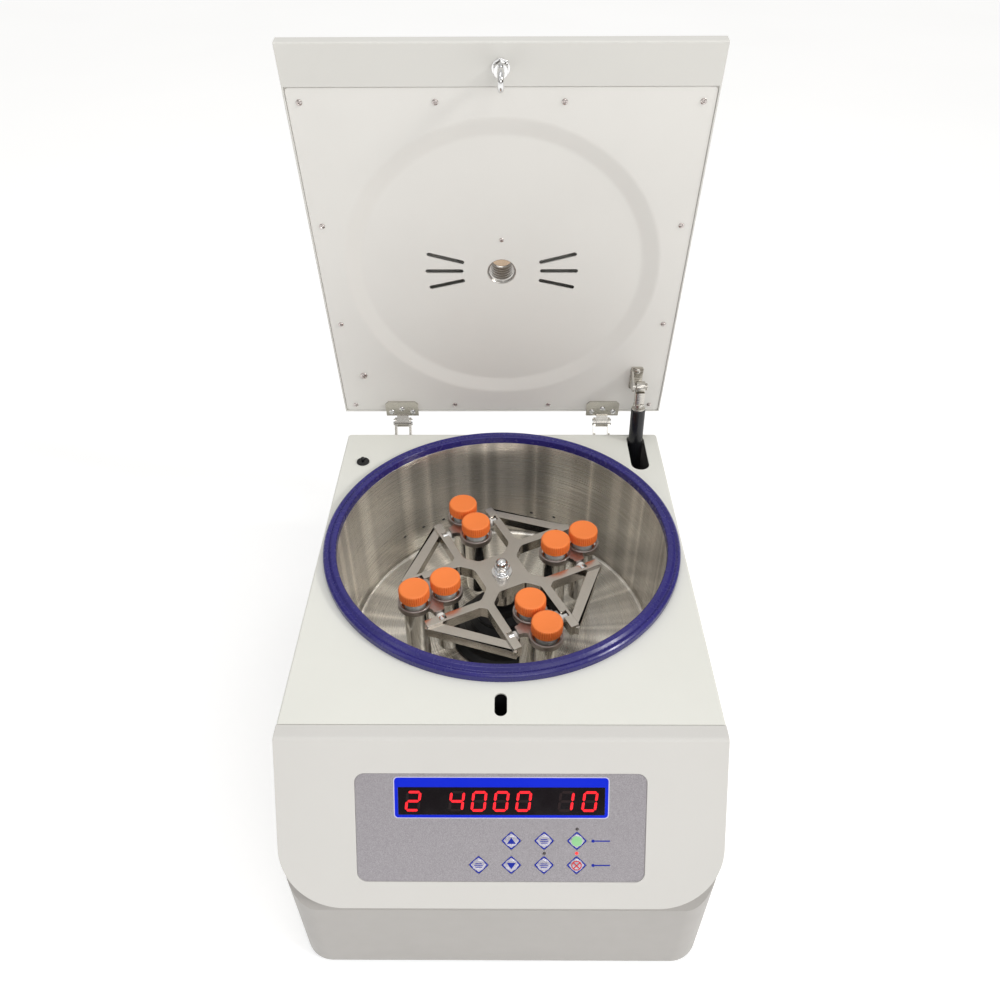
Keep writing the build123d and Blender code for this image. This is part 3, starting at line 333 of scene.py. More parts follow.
def speckle(name, c, rough=0.36):
    """Metallic-ink film: fine bright flakes in a grey ground."""
    m, nt, out = tree(name)
    v = coords(nt)
    p = principled(nt, out, Metallic=0.25, **{"Specular IOR Level": 0.5, "Coat Weight": 0.25, "Coat Roughness": 0.25})
    flakes = noise(nt, v, 2600.0, 1.0, 0.4)
    nt.links.new(ramp(nt, flakes, [(0.36, shade(c, 0.74)), (0.5, c), (0.63, shade(c, 1.42))]), p.inputs["Base Color"])
    nt.links.new(remap(nt, noise(nt, v, 500.0, 2.0), 0.3, 0.7, rough - 0.05, rough + 0.05), p.inputs["Roughness"])
    nt.links.new(bump(nt, flakes, 0.05, 0.0001), p.inputs["Normal"])
    return m


def glow(name, c, power, dim=0.82):
    """A lit segment, slightly uneven like a diffused lamp."""
    m, nt, out = tree(name)
    v = coords(nt)
    p = principled(nt, out, Roughness=0.3, **{"Emission Strength": power})
    col = ramp(nt, noise(nt, v, 350.0, 2.0), [(0.3, shade(c, dim)), (0.7, c)])
    nt.links.new(col, p.inputs["Base Color"])
    nt.links.new(col, p.inputs["Emission Color"])
    return m


IVORY = coat("ivory_powder_coat", (0.800, 0.80, 0.745), 0.40, 1400, 0.10, 0.012)
IVORY_MOULD = coat("ivory_moulding", (0.665, 0.652, 0.625), 0.44, 2200, 0.07, 0.012)
# cabinet: the same ivory darkened to about half as painted shade, for the cabinet that sits in shade under the fascia
IVORY_PAINTED_SHADE_CABINET = coat("cabinet_coat", (0.415, 0.398, 0.380), 0.46, 2000, 0.08, 0.015)
IVORY_LID = coat("ivory_lid_coat", (0.715, 0.705, 0.670), 0.42, 1400, 0.10, 0.012)
IVORY_PANEL = coat("lid_panel_coat", (0.800, 0.785, 0.750), 0.42, 1500, 0.09, 0.015)
# bowl steel whose colour carries painted reflection streaks
STEEL_BOWL = round_brushed("brushed_bowl_steel", (0.74, 0.705, 0.645), 0.27)
CAST = metal("satin_machined_steel", (0.56, 0.525, 0.48), 0.20, (1, 1, 1), 1500, 0.04, 0.05, spread=0.05)
PLATE = metal("bead_blasted_plate", (0.42, 0.375, 0.355), 0.32, (1, 1, 1), 1500, 0.12, 0.08, spread=0.08)
POLISH = metal("polished_cup_steel", (0.66, 0.64, 0.60), 0.13, (1, 1, 0.02), 500, 0.02, 0.04, spread=0.04)
CHROME = metal("bright_chrome", (0.80, 0.80, 0.80), 0.07, (1, 1, 1), 300, 0.01, 0.03, spread=0.03)
NICKEL = metal("satin_nickel", (0.60, 0.575, 0.53), 0.24, (0.04, 1, 1), 1600, 0.05, 0.05, spread=0.07)
ZINC = metal("zinc_sheet", (0.55, 0.57, 0.60), 0.36, (1, 1, 1), 90, 0.03, 0.12, spread=0.08)
SCREW = metal("screw_steel", (0.60, 0.55, 0.53), 0.22, (1, 1, 1), 1200, 0.05, 0.10, spread=0.08)
ALU = metal("turned_aluminium", (0.62, 0.60, 0.57), 0.30, (1, 1, 1), 800, 0.03, 0.05, spread=0.05)
BLUE = rubber("indigo_gasket_rubber", (0.022, 0.017, 0.165), 0.24, 0.02, 0.5, 0.01)
BLACK_RUB = rubber("black_rubber", (0.012, 0.012, 0.013), 0.50, 0.15, 0.35)
BLACK_PL = coat("black_moulding", (0.016, 0.016, 0.018), 0.38, 1800, 0.10, 0.15)
BLACK_COAT = coat("black_strut_coat", (0.010, 0.010, 0.012), 0.22, 900, 0.03, 0.1, 0.5)
WINDOW = coat("smoked_window", (0.006, 0.004, 0.006), 0.10, 300, 0.01, 0.2, 0.5)
FILM = speckle("grey_metallic_film", (0.355, 0.335, 0.358))
KEYCAP = speckle("key_dome_film", (0.50, 0.485, 0.56), 0.20)
INK_BLUE = coat("blue_ink", (0.0, 0.018, 0.66), 0.40, 2500, 0.03, 0.04, 0.2)
INK_NAVY = coat("navy_ink", (0.012, 0.026, 0.34), 0.36, 2500, 0.03, 0.05, 0.2)
INK_HALO = coat("bezel_edge_ink", (0.62, 0.60, 0.80), 0.34, 2500, 0.03, 0.04, 0.3)
INK_GREEN = coat("green_ink", (0.30, 0.62, 0.30), 0.32, 2500, 0.04, 0.05)
INK_RED = coat("red_ink", (0.62, 0.02, 0.03), 0.35, 2500, 0.04, 0.05, 0.2)
INK_DIM = coat("dim_segments", (0.016, 0.007, 0.008), 0.30, 1200, 0.03, 0.2, 0.3)
LED_ON = glow("lit_segments", (0.90, 0.010, 0.020), 0.85)
LAMP_ON = glow("lit_lamp", (0.95, 0.03, 0.03), 1.5)
LAMP_OFF = coat("unlit_lamp", (0.07, 0.06, 0.06), 0.2, 900, 0.02, 0.1)
# one cap orange in three tones: a lighter top as painted light, the ribs, and a darker copy as painted shade between
# the ribs
ORANGE = coat("orange_cap_top", (0.95, 0.235, 0.050), 0.40, 1100, 0.06, 0.03, 0.4)
ORANGE_RIB = coat("orange_cap_ribs", (0.90, 0.135, 0.024), 0.36, 1300, 0.05, 0.03, 0.45)
ORANGE_GROOVE_SHADE = coat("orange_cap_grooves", (0.62, 0.060, 0.012), 0.45, 1300, 0.05, 0.04, 0.3)
TUBE = clear("clear_tube_plastic", (0.96, 0.97, 0.96), 0.10, 1.50, 0.35)
GLASS = clear("sight_glass", (0.56, 0.42, 0.30), 0.03, 1.50)
# near-black copy of the port's metal: painted shade in the thread grooves
THREAD_GROOVE_SHADE = metal("thread_grooves", (0.045, 0.04, 0.036), 0.45, (1, 1, 1), 900, 0.04, 0.08, spread=0.08)
BOARD = coat("board_green", (0.02, 0.10, 0.045), 0.35, 700, 0.06, 0.2)
MOTOR = coat("motor_grey_paint", (0.10, 0.105, 0.115), 0.45, 500, 0.15, 0.1)
GUARD = coat("primed_guard_steel", (0.13, 0.135, 0.15), 0.5, 600, 0.1, 0.1)
BUSH = coat("white_bush_plastic", (0.80, 0.78, 0.74), 0.32, 1500, 0.04, 0.03)
BRASS = metal("brass_contact", (0.72, 0.53, 0.25), 0.25, (1, 1, 1), 900, 0.04, 0.06)


# ------------------------------------------------------------------ mesh helpers (local mm, then placed)
def place(name, bm, mat, M, body, angle=35, slot=None, stands_for=(), mats=None):
    bmesh.ops.recalc_face_normals(bm, faces=bm.faces[:])
    me = bpy.data.meshes.new(name)
    bm.transform(M)
    bm.to_mesh(me)
    bm.free()
    me.materials.clear()
    for x in mats or [mat]:
        me.materials.append(x)
    me.shade_smooth()
    me.set_sharp_from_angle(angle=math.radians(angle))
    o = bpy.data.objects.new(name, me)
    COL.objects.link(o)
    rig.ride(o, body)
    if stands_for:
        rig.replaces(o, *stands_for)
    if slot:
        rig.slot(o, slot)
    return o


def lathe(bm, profile, n=96, at=(0, 0, 0), closed=True, shape=None, mat_index=None):
    """Turns a profile of (r, z) round local z at a point. shape(k, angle, r, z) may move a point in or out."""
    rings = []
    for k, (r, z) in enumerate(profile):
        ring = []
        if r < 1e-6:
            ring = [bm.verts.new((at[0], at[1], at[2] + z))] * n
        else:
            for i in range(n):
                a = 2 * math.pi * i / n
                rr = shape(k, a, r, z) if shape else r
                ring.append(bm.verts.new((at[0] + rr * math.cos(a), at[1] + rr * math.sin(a), at[2] + z)))
        rings.append(ring)
    pairs = list(zip(rings, rings[1:]))
    if closed:
        pairs.append((rings[-1], rings[0]))
    for k, (a, b) in enumerate(pairs):
        for i in range(n):
            j = (i + 1) % n
            vs = []
            for v in (a[i], a[j], b[j], b[i]):
                if v not in vs:
                    vs.append(v)
            if len(vs) > 2:
                try:
                    f = bm.faces.new(vs)
                    if mat_index:
                        f.material_index = mat_index(k, i)
                except ValueError:
                    pass


def soften(points, radii, seg=4):
    """Rounds the corners of an open or closed list of 2-D points; radii by index."""
    out = []
    n = len(points)
    for i, p in enumerate(points):
        r = radii.get(i, 0) if isinstance(radii, dict) else radii
        if not r:
            out.append(p)
            continue
        a, b = Vector(points[i - 1]), Vector(points[(i + 1) % n])
        p = Vector(p)
        d0, d1 = (a - p), (b - p)
        l0, l1 = d0.length, d1.length
        d0.normalize(), d1.normalize()
        ang = d0.angle(d1)
        t = min(r / math.tan(ang / 2), 0.49 * l0, 0.49 * l1)
        rr = t * math.tan(ang / 2)
        c = p + (d0 + d1).normalized() * (rr / math.sin(ang / 2))
        s, e = p + d0 * t - c, p + d1 * t - c
        turn = math.atan2(s.x * e.y - s.y * e.x, s.dot(e))
        for k in range(seg + 1):
            w = turn * k / seg
            out.append((c.x + s.x * math.cos(w) - s.y * math.sin(w), c.y + s.x * math.sin(w) + s.y * math.cos(w)))
    return out


def circle_pts(x, y, r, n=32, a0=0.0):
    return [(x + r * math.cos(a0 + 2 * math.pi * i / n), y + r * math.sin(a0 + 2 * math.pi * i / n)) for i in range(n)]


def rect_pts(x0, y0, x1, y1, r=0.0, seg=6):
    pts = [(x0, y0), (x1, y0), (x1, y1), (x0, y1)]
    return soften(pts, r, seg) if r else pts


def slot_pts(x0, y0, x1, y1, w, n=8):
    """A slot with round ends from one end point to the other."""
    d = Vector((x1 - x0, y1 - y0)).normalized()
    a = math.atan2(d.y, d.x)
    out = []
    for (cx, cy), s in (((x1, y1), -math.pi / 2), ((x0, y0), math.pi / 2)):
        for i in range(n + 1):
            t = a + s + math.pi * i / n
            out.append((cx + w / 2 * math.cos(t), cy + w / 2 * math.sin(t)))
    return out


def inside(p, loop):
    x, y = p
    c = False
    for i in range(len(loop)):
        x0, y0 = loop[i - 1]
        x1, y1 = loop[i]
        if (y0 > y) != (y1 > y) and x < (x1 - x0) * (y - y0) / (y1 - y0) + x0:
            c = not c
    return c


def plate(bm, outer, holes, z0, z1, height=None, extra=(), mat_index=0):
    """A flat or shaped sheet between z0 and z1. height(x, y) lifts both faces; extra are loops kept as edges."""
    verts, edges = [], []
    for loop in [outer, *holes, *extra]:
        s = len(verts)
        verts += [Vector(p) for p in loop]
        edges += [(s + i, s + (i + 1) % len(loop)) for i in range(len(loop))]
    vs, _, fs, *_ = delaunay_2d_cdt(verts, edges, [], 0, 1e-5)
    keep = []
    for f in fs:
        c = sum((vs[i] for i in f), Vector((0, 0))) / len(f)
        if inside(c, outer) and not any(inside(c, h) for h in holes):
            keep.append(f)
    h = height or (lambda x, y: 0.0)
    lo = [bm.verts.new((v.x, v.y, z0 + h(v.x, v.y))) for v in vs]
    hi = [bm.verts.new((v.x, v.y, z1 + h(v.x, v.y))) for v in vs]
    rim = {}
    for f in keep:
        a = bm.faces.new([lo[i] for i in reversed(f)])
        b = bm.faces.new([hi[i] for i in f])
        a.material_index = b.material_index = mat_index
        for i in range(len(f)):
            e = (f[i], f[(i + 1) % len(f)])
            if (e[1], e[0]) in rim:
                del rim[(e[1], e[0])]
            else:
                rim[e] = True
    for i, j in rim:
        f = bm.faces.new([lo[i], lo[j], hi[j], hi[i]])
        f.material_index = mat_index
    for v in lo + hi:
        if not v.link_faces:
            bm.verts.remove(v)


def tube_along(bm, path, radii, n=16, cap=True):
    """A round bar along points, radius by point."""
    rings = []
    up = Vector((0.13, 0.27, 0.95))
    for i, p in enumerate(path):
        p = Vector(p)
        d = (Vector(path[min(i + 1, len(path) - 1)]) - Vector(path[max(i - 1, 0)])).normalized()
        u = d.cross(up).normalized()
        up = u.cross(d).normalized()
        r = radii[i] if hasattr(radii, "__len__") else radii
        rings.append([bm.verts.new(p + u * (r * math.cos(t)) + up * (r * math.sin(t))) for t in (2 * math.pi * k / n for k in range(n))])
    for a, b in zip(rings, rings[1:]):
        for k in range(n):
            bm.faces.new((a[k], a[(k + 1) % n], b[(k + 1) % n], b[k]))
    if cap:
        bm.faces.new(rings[0])
        bm.faces.new(rings[-1])


def merged(bm, other, M):
    """Adds another bmesh, moved by M."""
    other.transform(M)
    me = bpy.data.meshes.new("tmp")
    other.to_mesh(me)
    other.free()
    bm.from_mesh(me)
    bpy.data.meshes.remove(me)


def round_edges(bm, width, angle=30, seg=2):
    edges = [e for e in bm.edges if len(e.link_faces) == 2 and e.calc_face_angle(0) > math.radians(angle)]
    if edges:
        bmesh.ops.bevel(bm, geom=edges, offset=width, offset_type="OFFSET", segments=seg, profile=0.5, affect="EDGES", clamp_overlap=True)


def worn_copy(cad, name, mat, body, width=0.0006, angle=30, seg=2, smooth=32, slot=None):
    """A copy of a CAD node with its sharp edges rounded off, shown in its place."""
    src = frame["nodes"][cad]
    bm = bmesh.new()
    bm.from_mesh(src.data)
    bmesh.ops.remove_doubles(bm, verts=bm.verts[:], dist=2e-6)
    bmesh.ops.dissolve_degenerate(bm, dist=1e-6, edges=bm.edges[:])
    bmesh.ops.dissolve_limit(bm, angle_limit=math.radians(0.6), verts=bm.verts[:], edges=bm.edges[:])
    for f in bm.faces:
        f.material_index = 0
    round_edges(bm, width, angle, seg)
    o = place(name, bm, mat, Matrix.Identity(4), body, smooth, slot, (cad,))
    # shading follows the big flat faces, so the rounded edges read crisp
    md = o.modifiers.new("even", "WEIGHTED_NORMAL")
    md.mode, md.weight, md.keep_sharp = "FACE_AREA", 100, True
    bpy.context.view_layer.update()
    done = bpy.data.meshes.new_from_object(o.evaluated_get(bpy.context.evaluated_depsgraph_get()))
    o.modifiers.clear()
    o.data = done
    return o


# ------------------------------------------------------------------ casing
# the cabinet sheet takes the darkened ivory: painted shade
worn_copy("cabinet", "cabinet_sheet", IVORY_PAINTED_SHADE_CABINET, "casing", 0.0006)
worn_copy("top_deck", "deck_sheet", IVORY, "casing", 0.0005)
worn_copy("front_fascia", "fascia_moulding", IVORY_MOULD, "casing", 0.0010)
worn_copy("lid_shell", "lid_sheet_shell", IVORY_LID, "lid", 0.0005)
worn_copy("power_inlet", "inlet_moulding", BLACK_PL, "casing", 0.0004)
worn_copy("power_switch", "rocker_key", BLACK_PL, "power_switch", 0.0005)
worn_copy("hinge_yokes", "hinge_ears", NICKEL, "casing", 0.0004)
worn_copy("hinge_leaves", "hinge_leaf_plates", NICKEL, "lid", 0.00035)
worn_copy("strut_foot", "strut_foot_bracket", ZINC, "casing", 0.0004)
worn_copy("lid_lock", "lock_housing", BLACK_PL, "casing", 0.0004)
worn_copy("drive_module", "drive_heat_sink", BLACK_PL, "casing", 0.0004)

for n, m in dict(
    base_pan=ZINC, feet=BLACK_RUB, hinge_pins=CHROME, lock_bolt=CHROME, guard_ring=GUARD,
    motor_mounts=BLACK_RUB, control_board=BOARD, motor=MOTOR, drive_shaft=CHROME, strut_rod=CHROME,
    display_digits=LED_ON, display_window=WINDOW, switch_grommet=BLACK_RUB, switch_plunger=BLACK_COAT,
    indicator_leds=LAMP_OFF, control_panel=FILM,
).items():
    o = frame["nodes"][n]
    o.data.materials.clear()
    o.data.materials.append(m)

# ------------------------------------------------------------------ bowl and gasket
O = (0, BOWL_Y, 0)


def ride_axis(name, bm, mat, body, angle=35, stands_for=(), mats=None, cut=None):
    """A turned piece whose own origin is on the bowl axis, so its brushing runs round that axis."""
    bmesh.ops.recalc_face_normals(bm, faces=bm.faces[:])
    me = bpy.data.meshes.new(name)
    bm.transform(Matrix.Scale(0.001, 4))
    bm.to_mesh(me)
    bm.free()
    for x in mats or [mat]:
        me.materials.append(x)
    o = bpy.data.objects.new(name, me)
    COL.objects.link(o)
    o.location = (0, BOWL_Y * 0.001, 0)
    if cut is not None:
        cut.location = o.location
        md = o.modifiers.new("cut", "BOOLEAN")
        md.operation, md.solver, md.object = "DIFFERENCE", "EXACT", cut
        bpy.context.view_layer.update()
        dg = bpy.context.evaluated_depsgraph_get()
        done = bpy.data.meshes.new_from_object(o.evaluated_get(dg))
        o.modifiers.clear()
        o.data = done
        bpy.data.objects.remove(cut)
    o.data.shade_smooth()
    o.data.set_sharp_from_angle(angle=math.radians(angle))
    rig.ride(o, body)
    if stands_for:
        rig.replaces(o, *stands_for)
    return o


bm = bmesh.new()
prof = soften(
    [(30, FLOOR_Z), (181, FLOOR_Z), (181, DECK_Z + 1.2), (191, DECK_Z + 1.2), (191, DECK_Z),
     (182.2, DECK_Z), (182.2, FLOOR_Z - 1.2), (30, FLOOR_Z - 1.2)],
    {1: 6, 2: 0.5, 6: 7.2}, 8,
)
lathe(bm, prof, 256)
cut = bmesh.new()
for a in (67.4, 77.4, 116.0, 125.5, 135.0):
    r = math.radians(a)
    c = bmesh.new()
    lathe(c, [(0, 0), (2.3, 0), (2.3, 14), (0, 14)], 24, closed=False)
    merged(cut, c, Matrix.Translation((175 * math.cos(r), 175 * math.sin(r), FOOT_H + 156)) @ Matrix.Rotation(r, 4, "Z") @ Matrix.Rotation(math.pi / 2, 4, "Y"))
bmesh.ops.recalc_face_normals(cut, faces=cut.faces[:])
me = bpy.data.meshes.new("holes")
cut.transform(Matrix.Scale(0.001, 4))
cut.to_mesh(me)
cut.free()
holes = bpy.data.objects.new("holes", me)
COL.objects.link(holes)
ride_axis("bowl_liner", bm, STEEL_BOWL, "casing", 40, ("bowl", "bowl_floor"), cut=holes)

gz = DECK_Z + 10.4
bm = bmesh.new()
gp = soften(
    [(181, DECK_Z + 1.2), (191.2, DECK_Z + 1.2), (191.2, DECK_Z), (195.4, DECK_Z), (195.4, gz - 3.4), (192.8, gz - 0.9),
     (189.6, gz - 2.9), (186.4, gz), (181.0, gz - 0.2)],
    {3: 0.6, 4: 2.2, 5: 1.2, 6: 1.2, 7: 1.6, 8: 1.6}, 6,
)
lathe(bm, gp, 256)
ride_axis("mouth_gasket", bm, BLUE, "casing", 50, ("bowl_gasket",))

# black bellows boot; its base is made wide (r 62) so its black also fills the shade under the rotor, a real boot partly
# standing in for shade
bm = bmesh.new()
bp = [(9.4, 0), (62, 0), (62, 3), (53, 6), (50, 13), (52, 16), (45, 20), (47, 24), (39, 29), (41, 33), (32, 38),
      (33, 42), (23, 47), (22, 55), (9.4, 55)]
lathe(bm, soften([(r, FLOOR_Z + z) for r, z in bp], {i: 1.3 for i in range(2, 14)}, 4), 96)
ride_axis("bellows_boot", bm, BLACK_RUB, "casing", 40, ("shaft_boot",))

# ------------------------------------------------------------------ lid panel: pressed sheet with a round dish
DISH_RO, DISH_RI, DISH_D = 176.0, 153.5, 5.0


def smooth01(t):
    t = max(0.0, min(1.0, t))
    return t * t * (3 - 2 * t)


def dish_h(x, y):
    r = math.hypot(x, y + PORT_U)
    t = (DISH_RO - r) / (DISH_RO - DISH_RI)
    if t <= 0:
        return 0.0
    if t >= 1:
        return DISH_D
    k = 0.2
    if t < k:
        v = t * t / (2 * k)
    elif t > 1 - k:
        v = (1 - k) - (1 - t) ** 2 / (2 * k)
    else:
        v = t - k / 2
    return DISH_D * v / (1 - k)


PANEL_SCREWS = (
    [(x, -411.0) for x in (-190.0, -62.0, 60.0, 190.0)]
    + [(x, -282.0) for x in (-190.0, 190.0)]
    + [(x, -154.0) for x in (-189.5, 189.5)]
    + [(x, -26.0) for x in (-189.5, -61.0, 59.5, 189.5)]
)
LOUVRES = []
for sx in (-1, 1):
    for x0, u0, x1, u1 in ((80.0, 244.0, 44.0, 234.2), (82.6, 222.8, 45.2, 222.8), (79.6, 201.6, 44.0, 210.2)):
        LOUVRES.append(slot_pts(sx * x0, -u0, sx * x1, -u1, 5.2, 8))
bm = bmesh.new()
rings = [circle_pts(0, -PORT_U, r, 160) for r in
         [DISH_RI - 0.5, *[DISH_RI + (DISH_RO - DISH_RI) * k / 14 for k in range(15)], DISH_RO + 0.5]]
plate(
    bm,
    rect_pts(-201.6, -424.4, 201.6, -16.7, 4, 6),
    [circle_pts(0, -PORT_U, 16.0, 64), *LOUVRES]
    + [circle_pts(x, y, 1.75, 16) for x, y in PANEL_SCREWS + [(-173.0, -75.0)]],
    PANEL_Z, PANEL_Z + 1.5, dish_h, rings,
)
place("pressed_lid_panel", bm, IVORY_PANEL, LID, "lid", 50, None, ("lid_panel",))


# ------------------------------------------------------------------ Phillips screws
def phillips(r, h, n=40, cross=0.62):
    """Pan head standing on z = 0 towards +z with a cross recess."""
    s = bmesh.new()
    dome = [(0, 0), (r, 0), (r, h * 0.35)]
    for k in range(1, 7):
        t = k / 6 * math.pi / 2
        dome.append((r * math.cos(t) if k < 6 else 0, h * 0.35 + h * 0.65 * math.sin(t)))

    lathe(s, dome, n, closed=False)
    bmesh.ops.recalc_face_normals(s, faces=s.faces[:])
    me = bpy.data.meshes.new("head")
    s.to_mesh(me)
    s.free()
    o = bpy.data.objects.new("head", me)
    COL.objects.link(o)
    c = bmesh.new()
    for a in (0, math.pi / 2):
        b = bmesh.new()
        w, l = r * 0.13, r * cross
        low = [(-l * 0.45, -w * 0.8), (l * 0.45, -w * 0.8), (l * 0.45, w * 0.8), (-l * 0.45, w * 0.8)]
        top = [(-l, -w), (l, -w), (l, w), (-l, w)]
        lo = [b.verts.new((x, y, h * 0.25)) for x, y in low]
        hi = [b.verts.new((x, y, h * 1.15)) for x, y in top]
        b.faces.new(lo), b.faces.new(hi)
        for i in range(4):
            b.faces.new((lo[i], lo[(i + 1) % 4], hi[(i + 1) % 4], hi[i]))
        bmesh.ops.recalc_face_normals(b, faces=b.faces[:])
        merged(c, b, Matrix.Rotation(a, 4, "Z"))
    mc = bpy.data.meshes.new("cross")
    c.to_mesh(mc)
    c.free()
    oc = bpy.data.objects.new("cross", mc)
    COL.objects.link(oc)
    md = o.modifiers.new("cut", "BOOLEAN")
    md.operation, md.solver, md.object, md.use_self = "DIFFERENCE", "EXACT", oc, True
    bpy.context.view_layer.update()
    done = bpy.data.meshes.new_from_object(o.evaluated_get(bpy.context.evaluated_depsgraph_get()))
    bpy.data.objects.remove(o)
    bpy.data.objects.remove(oc)
    return done


HEAD = phillips(3.1, 1.6)


def heads(bm, spots, mesh, M=Matrix.Identity(4)):
    """Screw heads at (x, y, z, turn, size, flip) with the head towards -z when flip is set."""
    for x, y, z, turn, size, flip in spots:
        h = bmesh.new()
        h.from_mesh(mesh)
        T = Matrix.Translation((x, y, z)) @ Matrix.Rotation(turn, 4, "Z") @ Matrix.Scale(size, 4)
        if flip:
            T = Matrix.Translation((x, y, z)) @ Matrix.Rotation(math.pi, 4, "X") @ Matrix.Rotation(turn, 4, "Z") @ Matrix.Scale(size, 4)
        merged(bm, h, M @ T)


bm = bmesh.new()
spots = [(x, y, PANEL_Z, 0.4 + 1.3 * i, 0.95, True) for i, (x, y) in enumerate(PANEL_SCREWS)]
spots += [(-173.0, -75.0, PANEL_Z, 0.7, 1.45, True), (0, -262.0, PANEL_Z + DISH_D, 0.2, 0.8, True)]
heads(bm, spots, HEAD)
place("lid_screw_heads", bm, SCREW, LID, "lid", 40, None, ("lid_screws",))
bm = bmesh.new()
spots = [(sx * HINGE_X + dx, dy, PANEL_Z - 2.5, tn, 1.12, True)
         for sx in (-1, 1) for dx, dy, tn in ((-13.5, -15.5, 0.3), (0, -20.5, 1.0), (13.5, -15.5, 0.6))]
heads(bm, spots, HEAD)
place("hinge_screw_heads", bm, CHROME, LID, "lid", 40)

bm = bmesh.new()
BACK = basis((0, REAR_Y, 0), (-1, 0, 0), (0, 1, 0))
spots = [(sx * HINGE_X + a, DECK_Z - 31 + b, 2.5, 0.5 + a, 1.05, False) for sx in (-1, 1) for a in (-17, 17) for b in (-10, 10)]
spots += [(x, z, 0.0, 0.3 + x, 1.1, False) for x, z in ((0, FOOT_H + 18), (170, FOOT_H + 18), (-170, FOOT_H + 18), (180, DECK_Z - 26), (-180, DECK_Z - 26), (0, DECK_Z - 26))]
heads(bm, spots, HEAD)
place("cabinet_screw_heads", bm, SCREW, BACK, "casing", 40, None, ("cabinet_screws",))

# ------------------------------------------------------------------ sight port
PORT = LID @ Matrix.Translation((0, -PORT_U, 0))
bm = bmesh.new()
z = PANEL_Z + DISH_D + 0.6
prof, dark = [(15.9, z), (15.3, z), (14.9, z + 0.5)], set()
z += 1.4
while z < LID_TOP - 6:
    dark |= {len(prof), len(prof) + 1, len(prof) + 4}
    prof += [(15.3, z), (15.3, z + 1.0), (14.6, z + 2.2), (13.2, z + 2.7), (13.2, z + 3.3), (15.3, z + 4.0)]
    z += 4.6
prof += [(13.0, LID_TOP - 2.6), (14.6, LID_TOP - 2.6), (14.6, LID_TOP + 3.0), (22.0, LID_TOP + 3.0), (23.0, LID_TOP + 2.0), (23.0, LID_TOP), (15.9, LID_TOP)]
# faces in the thread roots and flanks take the near-black metal as painted groove shade
lathe(bm, prof, 128, mat_index=lambda k, i: 1 if k in dark else 0)
place("threaded_port", bm, ALU, PORT, "lid", 30, None, ("sight_port",), [ALU, THREAD_GROOVE_SHADE])
bm = bmesh.new()
lathe(bm, soften([(0, LID_TOP - 2.6), (14.5, LID_TOP - 2.6), (14.5, LID_TOP + 1.0), (0, LID_TOP + 1.0)], {1: 0.4, 2: 0.4}, 3), 96, closed=False)
place("port_window", bm, GLASS, PORT, "lid", 40, None, ("sight_glass",))

# ------------------------------------------------------------------ striker
ST = LID @ Matrix.Translation((0, -LATCH_U, 0))
bm = bmesh.new()
lathe(bm, soften([(3.0, SKIRT_Z), (8.6, SKIRT_Z), (8.6, SKIRT_Z - 1.4), (3.0, SKIRT_Z - 1.4)], {1: 0.4, 2: 0.4}, 3), 64)


def hexnut(bm, af, z0, z1, bore, turn=0.0, bev=0.9):
    """Hexagon nut: flats with chamfered corners on both faces."""
    R = af / math.cos(math.pi / 6)
    n = 72

    def rad(a, limit):
        w = (a - turn + math.pi / 6) % (math.pi / 3) - math.pi / 6
        return min(af / math.cos(w), limit)

    lathe(
        bm,
        [(bore, z0), (af, z0), (R, z0 + bev), (R, z1 - bev), (af, z1), (bore, z1)], n,
        shape=lambda k, a, r, z: r if k in (0, 5) else rad(a, af * 0.985) if k in (1, 4) else rad(a, R),
    )


hexnut(bm, 6.6, SKIRT_Z - 8.4, SKIRT_Z - 1.4, 3.0)
lathe(bm, soften([(0, SKIRT_Z - 8.0), (3.6, SKIRT_Z - 8.0), (3.6, SKIRT_Z - 15.5), (0, SKIRT_Z - 15.5)], {2: 0.8}, 3), 40, closed=False)
loop = []
for k in range(49):
    t = 2 * math.pi * k / 48
    y, zz = 6.5 * math.cos(t), 6.5 * math.sin(t)
    zz += 2.9 if zz > 0 else -2.9
    loop.append((0, y, -22.0 + zz))
b2 = bmesh.new()
tube_along(b2, loop, 2.95, 20, cap=False)
bmesh.ops.remove_doubles(b2, verts=b2.verts[:], dist=0.05)
merged(bm, b2, Matrix.Identity(4))
place("striker_eye_bolt", bm, CHROME, ST, "lid", 35, None, ("striker",))

# ------------------------------------------------------------------ gas strut
bm = bmesh.new()
SX = STRUT_X
plate(bm, rect_pts(SX - 11.5, -STRUT_U - 17, SX + 4.0, -STRUT_U + 17, 3, 5), [], PANEL_Z - 2.2, PANEL_Z)
round_edges(bm, 0.35)
heads(bm, [(SX - 3.5, -STRUT_U - 11.5, PANEL_Z - 2.2, 0.4, 1.2, True), (SX - 3.5, -STRUT_U + 12.0, PANEL_Z - 2.2, 1.0, 1.2, True)], HEAD)
ear = bmesh.new()
plate(
    ear,
    soften([(-12, PANEL_Z - 1), (12, PANEL_Z - 1), (6.6, STRUT_N), (4.6, STRUT_N - 4.6), (0, STRUT_N - 6.6), (-4.6, STRUT_N - 4.6), (-6.6, STRUT_N)], {0: 0, 2: 3, 3: 3, 4: 3, 5: 3, 6: 3}, 4),
    [], 0, 2.4,
)
round_edges(ear, 0.3)
# ear stands in the plane x = const: local x of the outline runs along the lid, its y out of the lid
merged(bm, ear, Matrix(((0, 0, 1, SX - 10.4), (1, 0, 0, -STRUT_U), (0, 1, 0, 0), (0, 0, 0, 1))))
TURN = Matrix(((0, 0, 1, 0), (1, 0, 0, -STRUT_U), (0, 1, 0, STRUT_N), (0, 0, 0, 1)))
pin = bmesh.new()
lathe(pin, soften([(0, SX - 10), (3.0, SX - 10), (3.0, SX + 6.5), (4.6, SX + 6.5), (4.6, SX + 8.5), (0, SX + 8.5)], {3: 0.4, 4: 0.6}, 3), 40, closed=False)
merged(bm, pin, TURN)
place("strut_lid_bracket", bm, NICKEL, LID, "lid", 35, None, ("strut_bracket",))

